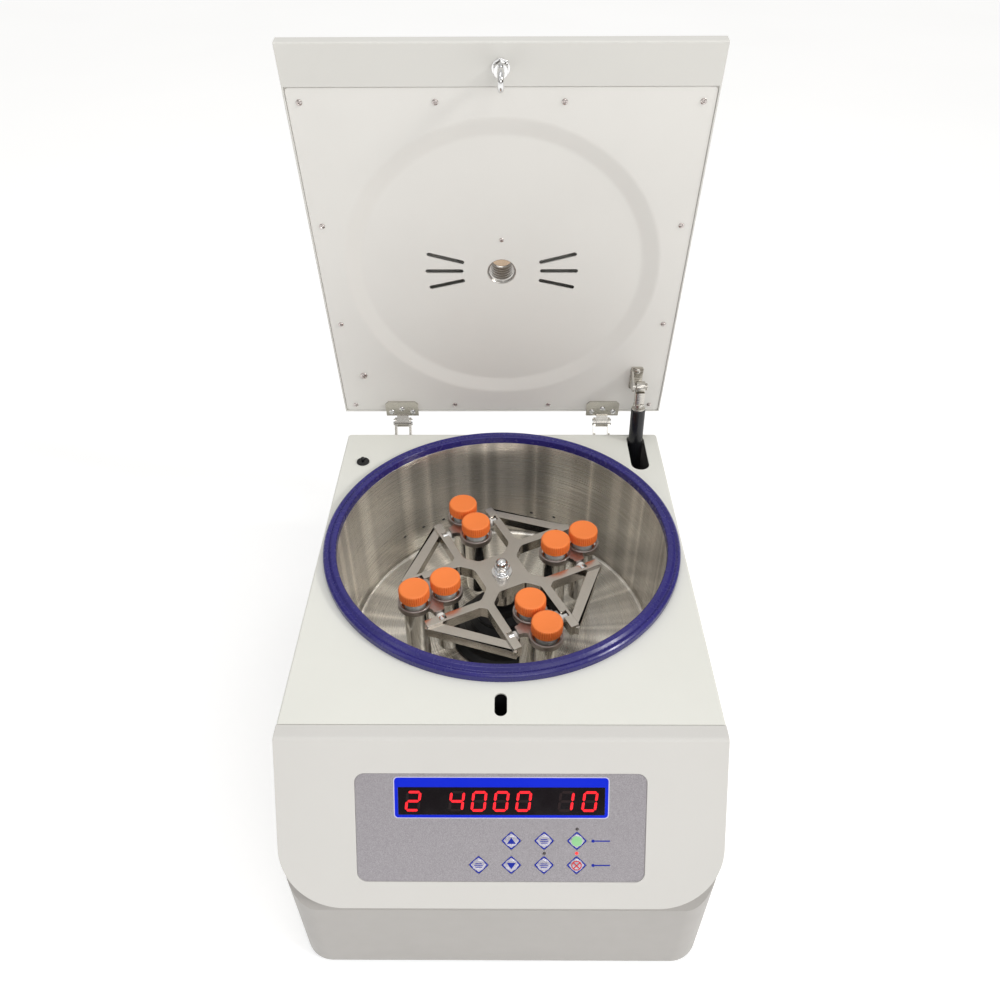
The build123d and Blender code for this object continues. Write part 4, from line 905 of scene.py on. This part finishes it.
pin_w = LID @ Vector((STRUT_X, -STRUT_U, STRUT_N))
foot_w = Vector((STRUT_X, *STRUT_FOOT)) * 0.001
STRUT = basis(pin_w * 1000, (1, 0, 0), (foot_w - pin_w))
bm = bmesh.new()
CYL_END = 186.0
lathe(bm, soften([(4.1, 30), (9.0, 30), (9.0, CYL_END), (4.1, CYL_END), (4.1, CYL_END - 10), (4.1, 60)], {1: 1.6, 2: 1.2}, 4), 64)
place("strut_black_tube", bm, BLACK_COAT, STRUT, "strut_cylinder", 35, None, ("strut_cylinder",))
bm = bmesh.new()
# bright neck, collar and eye block at the lid end
lathe(bm, soften([(0, 18.0), (5.2, 18.0), (5.2, 21.6), (6.8, 22.3), (6.8, 24.6), (5.2, 25.3), (5.2, 27.4), (8.4, 28.2), (8.4, 30.2), (0, 30.2)], {i: 0.4 for i in range(1, 9)}, 2), 48, closed=False)
blk = bmesh.new()
plate(blk, rect_pts(-5.75, -5.75, 5.75, 5.75, 1.6, 4), [], 6.5, 21.0)
round_edges(blk, 0.7)
merged(bm, blk, Matrix.Identity(4))
eye = bmesh.new()
lathe(eye, soften([(3.08, -5.4), (7.0, -5.4), (7.0, 5.4), (3.08, 5.4)], {1: 0.7, 2: 0.7}, 3), 48)
merged(bm, eye, Matrix.Rotation(math.pi / 2, 4, "Y"))
o = place("strut_end_fitting", bm, NICKEL, STRUT, "strut_cylinder", 35)

# ------------------------------------------------------------------ rotor
worn_copy("rotor_yoke", "yoke_casting", CAST, "rotor", 0.0005, 30, 2, 30)
RT = Matrix.Scale(0.001, 4) @ Matrix.Translation((0, BOWL_Y, 0))
bm = bmesh.new()
lathe(bm, soften([(5.1, ROTOR_TOP), (12, ROTOR_TOP), (12, ROTOR_TOP + 1.98), (5.1, ROTOR_TOP + 1.98)], {1: 0.3, 2: 0.5}, 3), 72)
place("hub_washer", bm, CHROME, RT, "rotor", 35)
bm = bmesh.new()
hexnut(bm, 8.0, ROTOR_TOP + 2, ROTOR_TOP + 10.5, 5.0, 0.5, 0.9)
dome = [(7.2, ROTOR_TOP + 10.3)]
for k in range(9):
    t = k / 8 * math.pi / 2
    dome.append((7.2 * math.cos(t), ROTOR_TOP + 12.2 + 7.1 * math.sin(t)))
dome[-1] = (0, dome[-1][1])
lathe(bm, dome, 72, closed=False)
place("dome_nut", bm, CHROME, RT, "rotor", 30, None, ("rotor_nut",))

# buckets, tubes and caps
CUP_PITCH, RIM_R, RIM_TOP, RIM_H = 37.2, 19.1, ROTOR_TOP + 3.7, 7.0
CUP_BOTTOM = PIVOT_Z - 84.5
CAP_R, CAP_TOP, CAP_H, TUBE_R = 17.0, ROTOR_TOP + 23.0, 13.0, 12.1


def carrier_outline():
    """Two rims joined by a waist, with wings that narrow out to the trunnions, corners softened."""
    h = CUP_PITCH / 2
    a_end = math.radians(119.4)
    wing = [(7.4, 19.3), (6.2, 22.0), (6.2, 25.95), (-6.2, 25.95), (-6.2, 22.0), (-7.4, 19.3)]
    pts, soft = [], {}
    for turn in (1, -1):
        for i in range(-24, 25):
            a = i / 24 * a_end
            pts.append((turn * (h + RIM_R * math.cos(a)), turn * RIM_R * math.sin(a)))
        for k, (x, y) in enumerate(wing):
            soft[len(pts)] = (2.0, 2.0, 2.6, 2.6, 2.0, 2.0)[k]
            pts.append((turn * x, turn * y))
    return soften(pts, soft, 5)


for i, b in enumerate(BUCKETS, 1):
    rb = math.radians(b)
    BM = Matrix.Scale(0.001, 4) @ Matrix.Translation((PIVOT_R * math.cos(rb), BOWL_Y + PIVOT_R * math.sin(rb), 0)) @ Matrix.Rotation(rb, 4, "Z")
    h = CUP_PITCH / 2
    bm = bmesh.new()
    plate(bm, carrier_outline(), [circle_pts(s * h, 0, 16.6, 64) for s in (-1, 1)], RIM_TOP - RIM_H, RIM_TOP - 0.9)
    round_edges(bm, 0.8, 40, 2)
    for s in (-1, 1):
        # raised rolled lip of the rim, its counterbore and the underside cone
        lathe(bm, soften([(16.6, RIM_TOP - 2.4), (16.6, RIM_TOP), (18.6, RIM_TOP), (18.9, RIM_TOP - 1.4), (18.9, RIM_TOP - RIM_H + 0.3), (12.7, RIM_TOP - RIM_H + 0.3), (12.7, RIM_TOP - 2.4)], {1: 0.6, 2: 0.9, 4: 0.8}, 4), 96, (s * h, 0, 0), mat_index=lambda k, i: 1)
    place(f"carrier_plate_{i}", bm, PLATE, BM, f"bucket_{i}", 35, None, (f"bucket_{i}",), [PLATE, POLISH])
    bm = bmesh.new()
    for s in (-1, 1):
        prof = [(0, CUP_BOTTOM)]
        for k in range(9):
            t = k / 8 * math.pi / 2
            prof.append((4.75 + 9.0 * math.sin(t), CUP_BOTTOM + 9.0 - 9.0 * math.cos(t)))
        prof += [(13.75, RIM_TOP - RIM_H - 0.2), (15.2, RIM_TOP - RIM_H + 0.2), (15.2, RIM_TOP - 2.3), (12.5, RIM_TOP - 2.3), (12.5, CUP_BOTTOM + 10.0)]
        for k in range(7):
            t = k / 6 * math.pi / 2
            prof.append((12.5 - 7.7 * (1 - math.cos(t)), CUP_BOTTOM + 2.0 + 7.7 * (1 - math.sin(t))))
        prof.append((0, CUP_BOTTOM + 2.0))
        lathe(bm, prof, 96, (s * h, 0, 0), closed=False)
    place(f"polished_cups_{i}", bm, POLISH, BM, f"bucket_{i}", 40)
    bm = bmesh.new()
    for s in (-1, 1):
        t = bmesh.new()
        lathe(t, soften([(0, 22.5), (4.0, 22.5), (4.0, 36.0), (0, 36.0)], {2: 0.7}, 3), 40, closed=False)
        merged(bm, t, Matrix.Translation((0, 0, PIVOT_Z)) @ Matrix.Rotation(-s * math.pi / 2, 4, "X"))
    place(f"trunnions_{i}", bm, CHROME, BM, f"bucket_{i}", 35)
    # pale bushes between the wings and the yoke
    bm = bmesh.new()
    for s in (-1, 1):
        t = bmesh.new()
        lathe(t, soften([(4.02, 26.1), (5.3, 26.1), (5.3, 29.35), (4.02, 29.35)], {1: 0.4, 2: 0.4}, 3), 40)
        merged(bm, t, Matrix.Translation((0, 0, PIVOT_Z)) @ Matrix.Rotation(-s * math.pi / 2, 4, "X"))
    place(f"trunnion_bushes_{i}", bm, BUSH, BM, f"bucket_{i}", 35)
    # tubes: thin wall, a neck ring and a closed round bottom
    bm = bmesh.new()
    for s in (-1, 1):
        zb = CUP_BOTTOM + 2.3
        prof = [(0, zb)]
        for k in range(1, 9):
            t = k / 8 * math.pi / 2
            prof.append((2.6 + 9.5 * math.sin(t), zb + 9.5 - 9.5 * math.cos(t)))
        prof += [(12.1, 228.0), (12.1, 233.6), (12.6, 234.0), (12.6, 235.2), (12.1, 235.6), (12.1, CAP_TOP - 2.2), (11.1, CAP_TOP - 2.2), (11.1, zb + 11)]
        for k in range(7):
            t = k / 6 * math.pi / 2
            prof.append((11.1 - 8.4 * (1 - math.cos(t)), zb + 1.4 + 9.6 * (1 - math.sin(t))))
        prof.append((0, zb + 1.4))
        lathe(bm, prof, 72, (s * h, 0, 0), closed=False)
    place(f"clear_tubes_{i}", bm, TUBE, BM, f"tubes_{i}", 40, None, (f"tubes_{i}",))
    # ribbed caps: a lighter top as painted light, darker faces between the ribs as painted shade
    bm = bmesh.new()
    ribs = 44
    z0, z1 = CAP_TOP - CAP_H, CAP_TOP
    for s in (-1, 1):
        prof = [(12.25, z0 + 0.4), (16.2, z0), (16.5, z0 + 0.4), (16.52, z0 + 1.6), (16.52, z1 - 2.2), (16.45, z1 - 1.3), (16.05, z1 - 0.5), (15.2, z1 - 0.05), (14.4, z1), (13.2, z1 - 0.25), (0, z1 - 0.3)]

        def ribbed(k, a, r, z, s=s):
            if 2 <= k <= 5:
                w = math.cos(a * ribs + s)
                amp = (0.36, 0.48, 0.48, 0.30)[k - 2]
                return r + amp * max(-0.9, min(0.95, 1.7 * w))
            return r

        # rib faces take the rib orange, the faces between ribs the darker orange as painted groove shade
        def face_mat(k, i, s=s):
            if k < 1 or k > 5:
                return 0
            return 1 if math.cos(2 * math.pi * (i + 0.5) / 10 + s) > -0.15 else 2

        lathe(bm, prof, ribs * 10, (s * h, 0, 0), closed=False, shape=ribbed, mat_index=face_mat)
        lathe(bm, [(12.25, z0 + 0.4), (12.25, z1 - 2.0), (0, z1 - 2.0)], 96, (s * h, 0, 0), closed=False)
    place(f"ribbed_caps_{i}", bm, ORANGE, BM, f"tubes_{i}", 38, None, (f"caps_{i}",), [ORANGE, ORANGE_RIB, ORANGE_GROOVE_SHADE])

# ------------------------------------------------------------------ control panel artwork and keys
WIN = (0.7, -58.8, 183.0, 26.4)


def ink(name, mat, build, body="casing"):
    bm = bmesh.new()
    build(bm)
    return place(name, bm, mat, FACE, body, 30)


Z_PANEL = -0.8
ink("bezel_edge", INK_HALO, lambda bm: plate(
    bm, rect_pts(-94.9, -75.4, 96.1, -35.8, 3.8, 6), [rect_pts(-93.7, -74.3, 94.9, -36.9, 3.0, 6)], Z_PANEL - 0.05, Z_PANEL + 0.06))
ink("blue_bezel", INK_BLUE, lambda bm: plate(
    bm, rect_pts(-94.0, -74.6, 95.2, -36.6, 3.2, 6),
    [rect_pts(WIN[0] - 91.7, WIN[1] - 13.3, WIN[0] + 91.7, WIN[1] + 13.3, 0.8, 3)], Z_PANEL - 0.04, Z_PANEL + 0.18))


def leaders(bm):
    for y, x0, x1 in ((-97.0, 82.4, 97.6), (-120.7, 82.8, 98.1)):
        plate(bm, rect_pts(x0, y - 0.6, x1, y + 0.6), [], Z_PANEL - 0.05, Z_PANEL + 0.08)
        plate(bm, circle_pts(x0, y, 1.5, 24), [], Z_PANEL - 0.05, Z_PANEL + 0.1)


ink("leader_lines", INK_NAVY, leaders)

KEYS = {
    "key_up": (9.5, -96.9), "key_confirm": (38.8, -96.9), "key_start": (68.0, -96.9), "key_set": (-19.8, -120.6),
    "key_down": (9.5, -120.6), "key_rcf": (38.8, -120.6), "key_stop": (68.0, -120.6),
}
KEY_R = 9.15
Z_FILM = -0.95  # upper face of a key's flat film


def diamond(x, y, r, soft=1.0):
    return soften([(x + r, y), (x, y + r), (x - r, y), (x, y - r)], soft, 4)


def frame_pts(bm, x, y, r0, r1, z0, z1):
    plate(bm, diamond(x, y, r1, 1.4), [diamond(x, y, r0, 1.0)], z0, z1)


def dome_z(r):
    """Height of a key's soft dome above its flat film at a distance from its centre."""
    return 0.62 * smooth01((6.1 - r) / 1.6) + 0.42 * max(0.0, 1 - (r / 5.6) ** 2)


DOME_RINGS = (0.7, 1.3, 1.9, 2.5, 3.1, 3.7, 4.3, 4.7, 5.1, 5.5, 5.9, 6.15)


def on_dome(x, y, lift=0.0):
    return lambda px, py: dome_z(math.hypot(px - x, py - y)) + lift


for name, (x, y) in KEYS.items():
    # the pressed film: flat diamond rising into a soft round dome
    bm = bmesh.new()
    plate(bm, diamond(x, y, KEY_R, 1.0), [], -1.9, Z_FILM, on_dome(x, y), [circle_pts(x, y, r, 40) for r in DOME_RINGS])
    place(name + "_dome", bm, KEYCAP, FACE, name, 60, None, (name,))
    bm = bmesh.new()
    frame_pts(bm, x, y, KEY_R - 1.75, KEY_R - 0.1, Z_FILM - 0.05, Z_FILM + 0.1)
    place(name + "_outline", bm, INK_NAVY, FACE, name, 30)


def rings_in(x, y, *radii):
    return [circle_pts(x, y, r, 32) for r in radii]


def bar_pts(x, y, u0, u1, w, a=0.0, steps=9):
    """A thin bar cut into short lengths, so it can follow a dome."""
    c, s = math.cos(a), math.sin(a)
    low = [(u0 + (u1 - u0) * k / steps, -w) for k in range(steps + 1)]
    top = [(u, w) for u, _ in reversed(low)]
    return [(x + u * c - v * s, y + u * s + v * c) for u, v in low + top]


for name, s in (("key_up", 1), ("key_down", -1)):
    x, y = KEYS[name]
    tri = [(-4.1, -2.6), (-2.0, -2.6), (0, -2.6), (2.0, -2.6), (4.1, -2.6), (2.05, 0.5), (0, 3.6), (-2.05, 0.5)]
    bm = bmesh.new()
    plate(bm, [(x + s * a, y + s * b) for a, b in tri], [], Z_FILM - 0.02, Z_FILM + 0.08, on_dome(x, y), rings_in(x, y, 0.7, 1.3, 1.9, 2.3))
    place(name + "_arrow", bm, INK_NAVY, FACE, name, 50)
x, y = KEYS["key_start"]
bm = bmesh.new()
plate(bm, circle_pts(x, y, 4.9, 40), [], Z_FILM - 0.02, Z_FILM + 0.08, on_dome(x, y), rings_in(x, y, 0.7, 1.3, 1.9, 2.5, 3.1, 3.7, 4.3))
place("start_disc", bm, INK_GREEN, FACE, "key_start", 50)
x, y = KEYS["key_stop"]
bm = bmesh.new()
plate(bm, circle_pts(x, y, 4.7, 40), [circle_pts(x, y, 3.8, 40)], Z_FILM - 0.02, Z_FILM + 0.08, on_dome(x, y))
for a in (math.pi / 4, -math.pi / 4):
    plate(bm, bar_pts(x, y, -4.0, 4.0, 0.5, a, 12), [], Z_FILM - 0.02, Z_FILM + 0.09 + (0.01 if a > 0 else 0), on_dome(x, y))
place("stop_mark", bm, INK_RED, FACE, "key_stop", 50)
# three plain bars on each of the other keys
for name in ("key_set", "key_confirm", "key_rcf"):
    x, y = KEYS[name]
    bm = bmesh.new()
    for dy, w in ((1.7, 3.0), (0.0, 3.8), (-1.7, 3.0)):
        plate(bm, bar_pts(x, y + dy, -w, w, 0.36), [], Z_FILM - 0.02, Z_FILM + 0.09, on_dome(x, y))
    place(name + "_bars", bm, INK_NAVY, FACE, name, 40)

# lamps
LAMPS = [(68.1, -85.6, False), (39.0, -109.1, False), (68.0, -109.0, True)]
for k, (x, y, on) in enumerate(LAMPS):
    bm = bmesh.new()
    prof = [(0, -2.6), (1.38, -2.6), (1.38, -0.75)]
    for j in range(1, 6):
        t = j / 5 * math.pi / 2
        prof.append((1.38 * math.cos(t) if j < 5 else 0, -0.75 + 0.7 * math.sin(t)))
    lathe(bm, prof, 32, (x, y, 0), closed=False)
    o = place(f"lamp_{k + 1}", bm, LAMP_ON if on else LAMP_OFF, FACE, "casing", 50)
    if k == 0:
        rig.replaces(o, "indicator_leds")

# the dark segments of each digit, faint behind the window
DIG_W, DIG_H, SEG_W, SLANT = 11.0, 19.6, 2.3, 0.12
SEGS = {"0": "abcdef", "1": "bc", "2": "abged", "4": "fgbc"}


def seg_pts(k):
    w, h, b = DIG_W / 2, DIG_H / 2, SEG_W / 2
    g = 0.35

    def hor(yy):
        return [(-w + g + b, yy - b), (-w + g, yy), (-w + g + b, yy + b), (w - g - b, yy + b), (w - g, yy), (w - g - b, yy - b)]

    def ver(xx, y0, y1):
        return [(xx - b, y0 + g + b), (xx, y0 + g), (xx + b, y0 + g + b), (xx + b, y1 - g - b), (xx, y1 - g), (xx - b, y1 - g - b)]

    pts = {"a": hor(h - b), "g": hor(0), "d": hor(-h + b), "f": ver(-w, 0, h - b), "b": ver(w, 0, h - b), "e": ver(-w, -h + b, 0), "c": ver(w, -h + b, 0)}[k]
    return [(px + SLANT * py, py) for px, py in pts]


bm = bmesh.new()
for ch, cx in (("2", -77.6), ("4", -38.9), ("0", -19.2), ("0", 0.5), ("0", 20.4), ("1", 58.0), ("0", 79.0)):
    for k in "abcdefg":
        if k not in SEGS[ch]:
            plate(bm, [(cx + px, WIN[1] - 0.2 + py) for px, py in reversed(seg_pts(k))], [], -0.95, -0.88)
place("dark_segments", bm, INK_DIM, FACE, "casing", 30)

# inlet pins
bm = bmesh.new()
INL = basis((-120.0, REAR_Y, 62.0), (-1, 0, 0), (0, 1, 0))
for x0, y0, x1, y1 in ((-7.5, -13.0, -5.5, -9.0), (5.5, -13.0, 7.5, -9.0), (-2.0, -16.2, 2.0, -14.2)):
    plate(bm, rect_pts(x0, y0, x1, y1, 0.3, 2), [], -17.5, -3.45)
round_edges(bm, 0.3)
place("inlet_blades", bm, BRASS, INL, "casing", 35)

# ------------------------------------------------------------------ floor, light, camera
me = bpy.data.meshes.new("floor")
bm = bmesh.new()
s = 14.0
bm.faces.new([bm.verts.new(p) for p in ((-s, -s, 0), (s, -s, 0), (s, s, 0), (-s, s, 0))])
bm.to_mesh(me)
bm.free()
floor_mat, nt, out = tree("studio_floor")
p = principled(nt, out, Roughness=0.6, **{"Specular IOR Level": 0.2, "Emission Strength": 0.33, "Emission Color": (1, 1, 1, 1)})
nt.links.new(ramp(nt, noise(nt, coords(nt), 1.2, 2.0), [(0.3, (0.90, 0.90, 0.895)), (0.7, (0.92, 0.92, 0.915))]), p.inputs["Base Color"])
me.materials.append(floor_mat)
floor = bpy.data.objects.new("studio_floor", me)
COL.objects.link(floor)
floor.location = (0, 0, -0.0005)
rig.stage(floor)

world = bpy.data.worlds.new("studio")
SC.world = world
world.use_nodes = True
nt = world.node_tree
nt.nodes.clear()
out = nt.nodes.new("ShaderNodeOutputWorld")
bg = nt.nodes.new("ShaderNodeBackground")
tc = nt.nodes.new("ShaderNodeTexCoord")
sep = nt.nodes.new("ShaderNodeSeparateXYZ")
nt.links.new(tc.outputs["Generated"], sep.inputs["Vector"])
cr = nt.nodes.new("ShaderNodeValToRGB")
els = cr.color_ramp.elements
for pos, c in ((0.0, (0.60, 0.59, 0.57)), (0.50, (0.30, 0.275, 0.25)), (0.57, (0.22, 0.195, 0.175)), (0.66, (0.60, 0.58, 0.55)), (0.78, (0.96, 0.96, 0.96)), (1.0, (1.0, 1.0, 1.0))):
    e = els.new(pos) if pos not in (0.0, 1.0) else els[0 if pos == 0.0 else -1]
    e.color = (*c, 1)
mr = nt.nodes.new("ShaderNodeMapRange")
mr.inputs["From Min"].default_value = -1
nt.links.new(sep.outputs["Z"], mr.inputs["Value"])
nt.links.new(mr.outputs["Result"], cr.inputs["Fac"])
nt.links.new(cr.outputs["Color"], bg.inputs["Color"])
bg.inputs["Strength"].default_value = 0.63
nt.links.new(bg.outputs["Background"], out.inputs["Surface"])


def area(name, at, to, size, power, c=(1, 1, 1)):
    l = bpy.data.lights.new(name, "AREA")
    l.shape = "RECTANGLE"
    l.size, l.size_y = size
    l.energy = power
    l.color = c
    o = bpy.data.objects.new(name, l)
    COL.objects.link(o)
    o.location = at
    o.rotation_mode = "QUATERNION"
    o.rotation_quaternion = (Vector(to) - Vector(at)).to_track_quat("-Z", "Y")
    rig.stage(o)
    return o


area("key", (1.0, -1.3, 2.5), (0, 0.05, 0.35), (0.9, 0.9), 5, (1.0, 0.985, 0.96))
area("top", (-0.2, 0.1, 2.6), (0, 0.0, 0.3), (1.6, 0.5), 8, (1.0, 1.0, 1.0))
area("left", (-1.9, -0.9, 1.2), (0, 0, 0.3), (0.5, 1.6), 3, (0.96, 0.98, 1.0))
area("front", (0.3, -1.6, 1.2), (0, 0.2, 0.5), (1.0, 0.6), 5, (1.0, 1.0, 0.99))
l = bpy.data.lights.new("window", "SUN")
l.energy, l.angle, l.color = 0.95, math.radians(10), (1.0, 0.99, 0.965)
o = bpy.data.objects.new("window", l)
COL.objects.link(o)
o.location = (1.6, -0.7, 1.1)
o.rotation_mode = "QUATERNION"
o.rotation_quaternion = Vector((-0.78, 0.34, -0.53)).to_track_quat("-Z", "Y")
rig.stage(o)

cam = bpy.data.cameras.new("photo_camera")
cam.sensor_width = 36.0
cam.sensor_fit = "HORIZONTAL"
cam.lens = 824.4118 * 36.0 / 1000.0
cam.dof.use_dof = False
cam.clip_start, cam.clip_end = 0.01, 100
co = bpy.data.objects.new("photo_camera", cam)
COL.objects.link(co)
P, YAW, ROLL = 0.6970478, -0.0088058, -0.0055822
fw = Vector((math.sin(YAW) * math.cos(P), math.cos(YAW) * math.cos(P), -math.sin(P)))
r0 = Vector((math.cos(YAW), -math.sin(YAW), 0))
u0 = r0.cross(fw)
right = math.cos(ROLL) * r0 + math.sin(ROLL) * u0
upv = -math.sin(ROLL) * r0 + math.cos(ROLL) * u0
rot = Matrix((right, upv, -fw)).transposed()
co.rotation_mode = "QUATERNION"
co.rotation_quaternion = rot.to_quaternion()
co.location = Vector((4.35, -674.16 + BOWL_Y, 901.38)) * 0.001
SC.camera = co
SC.view_settings.view_transform = "Standard"
SC.view_settings.look = "None"
SC.view_settings.exposure = 0.0

lo1, hi1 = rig.bounds()
json.dump(
    {"cad": [list(box_lo), list(box_hi)], "visual": [list(lo1), list(hi1)]},
    open("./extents.json", "w"),
    indent=1,
)
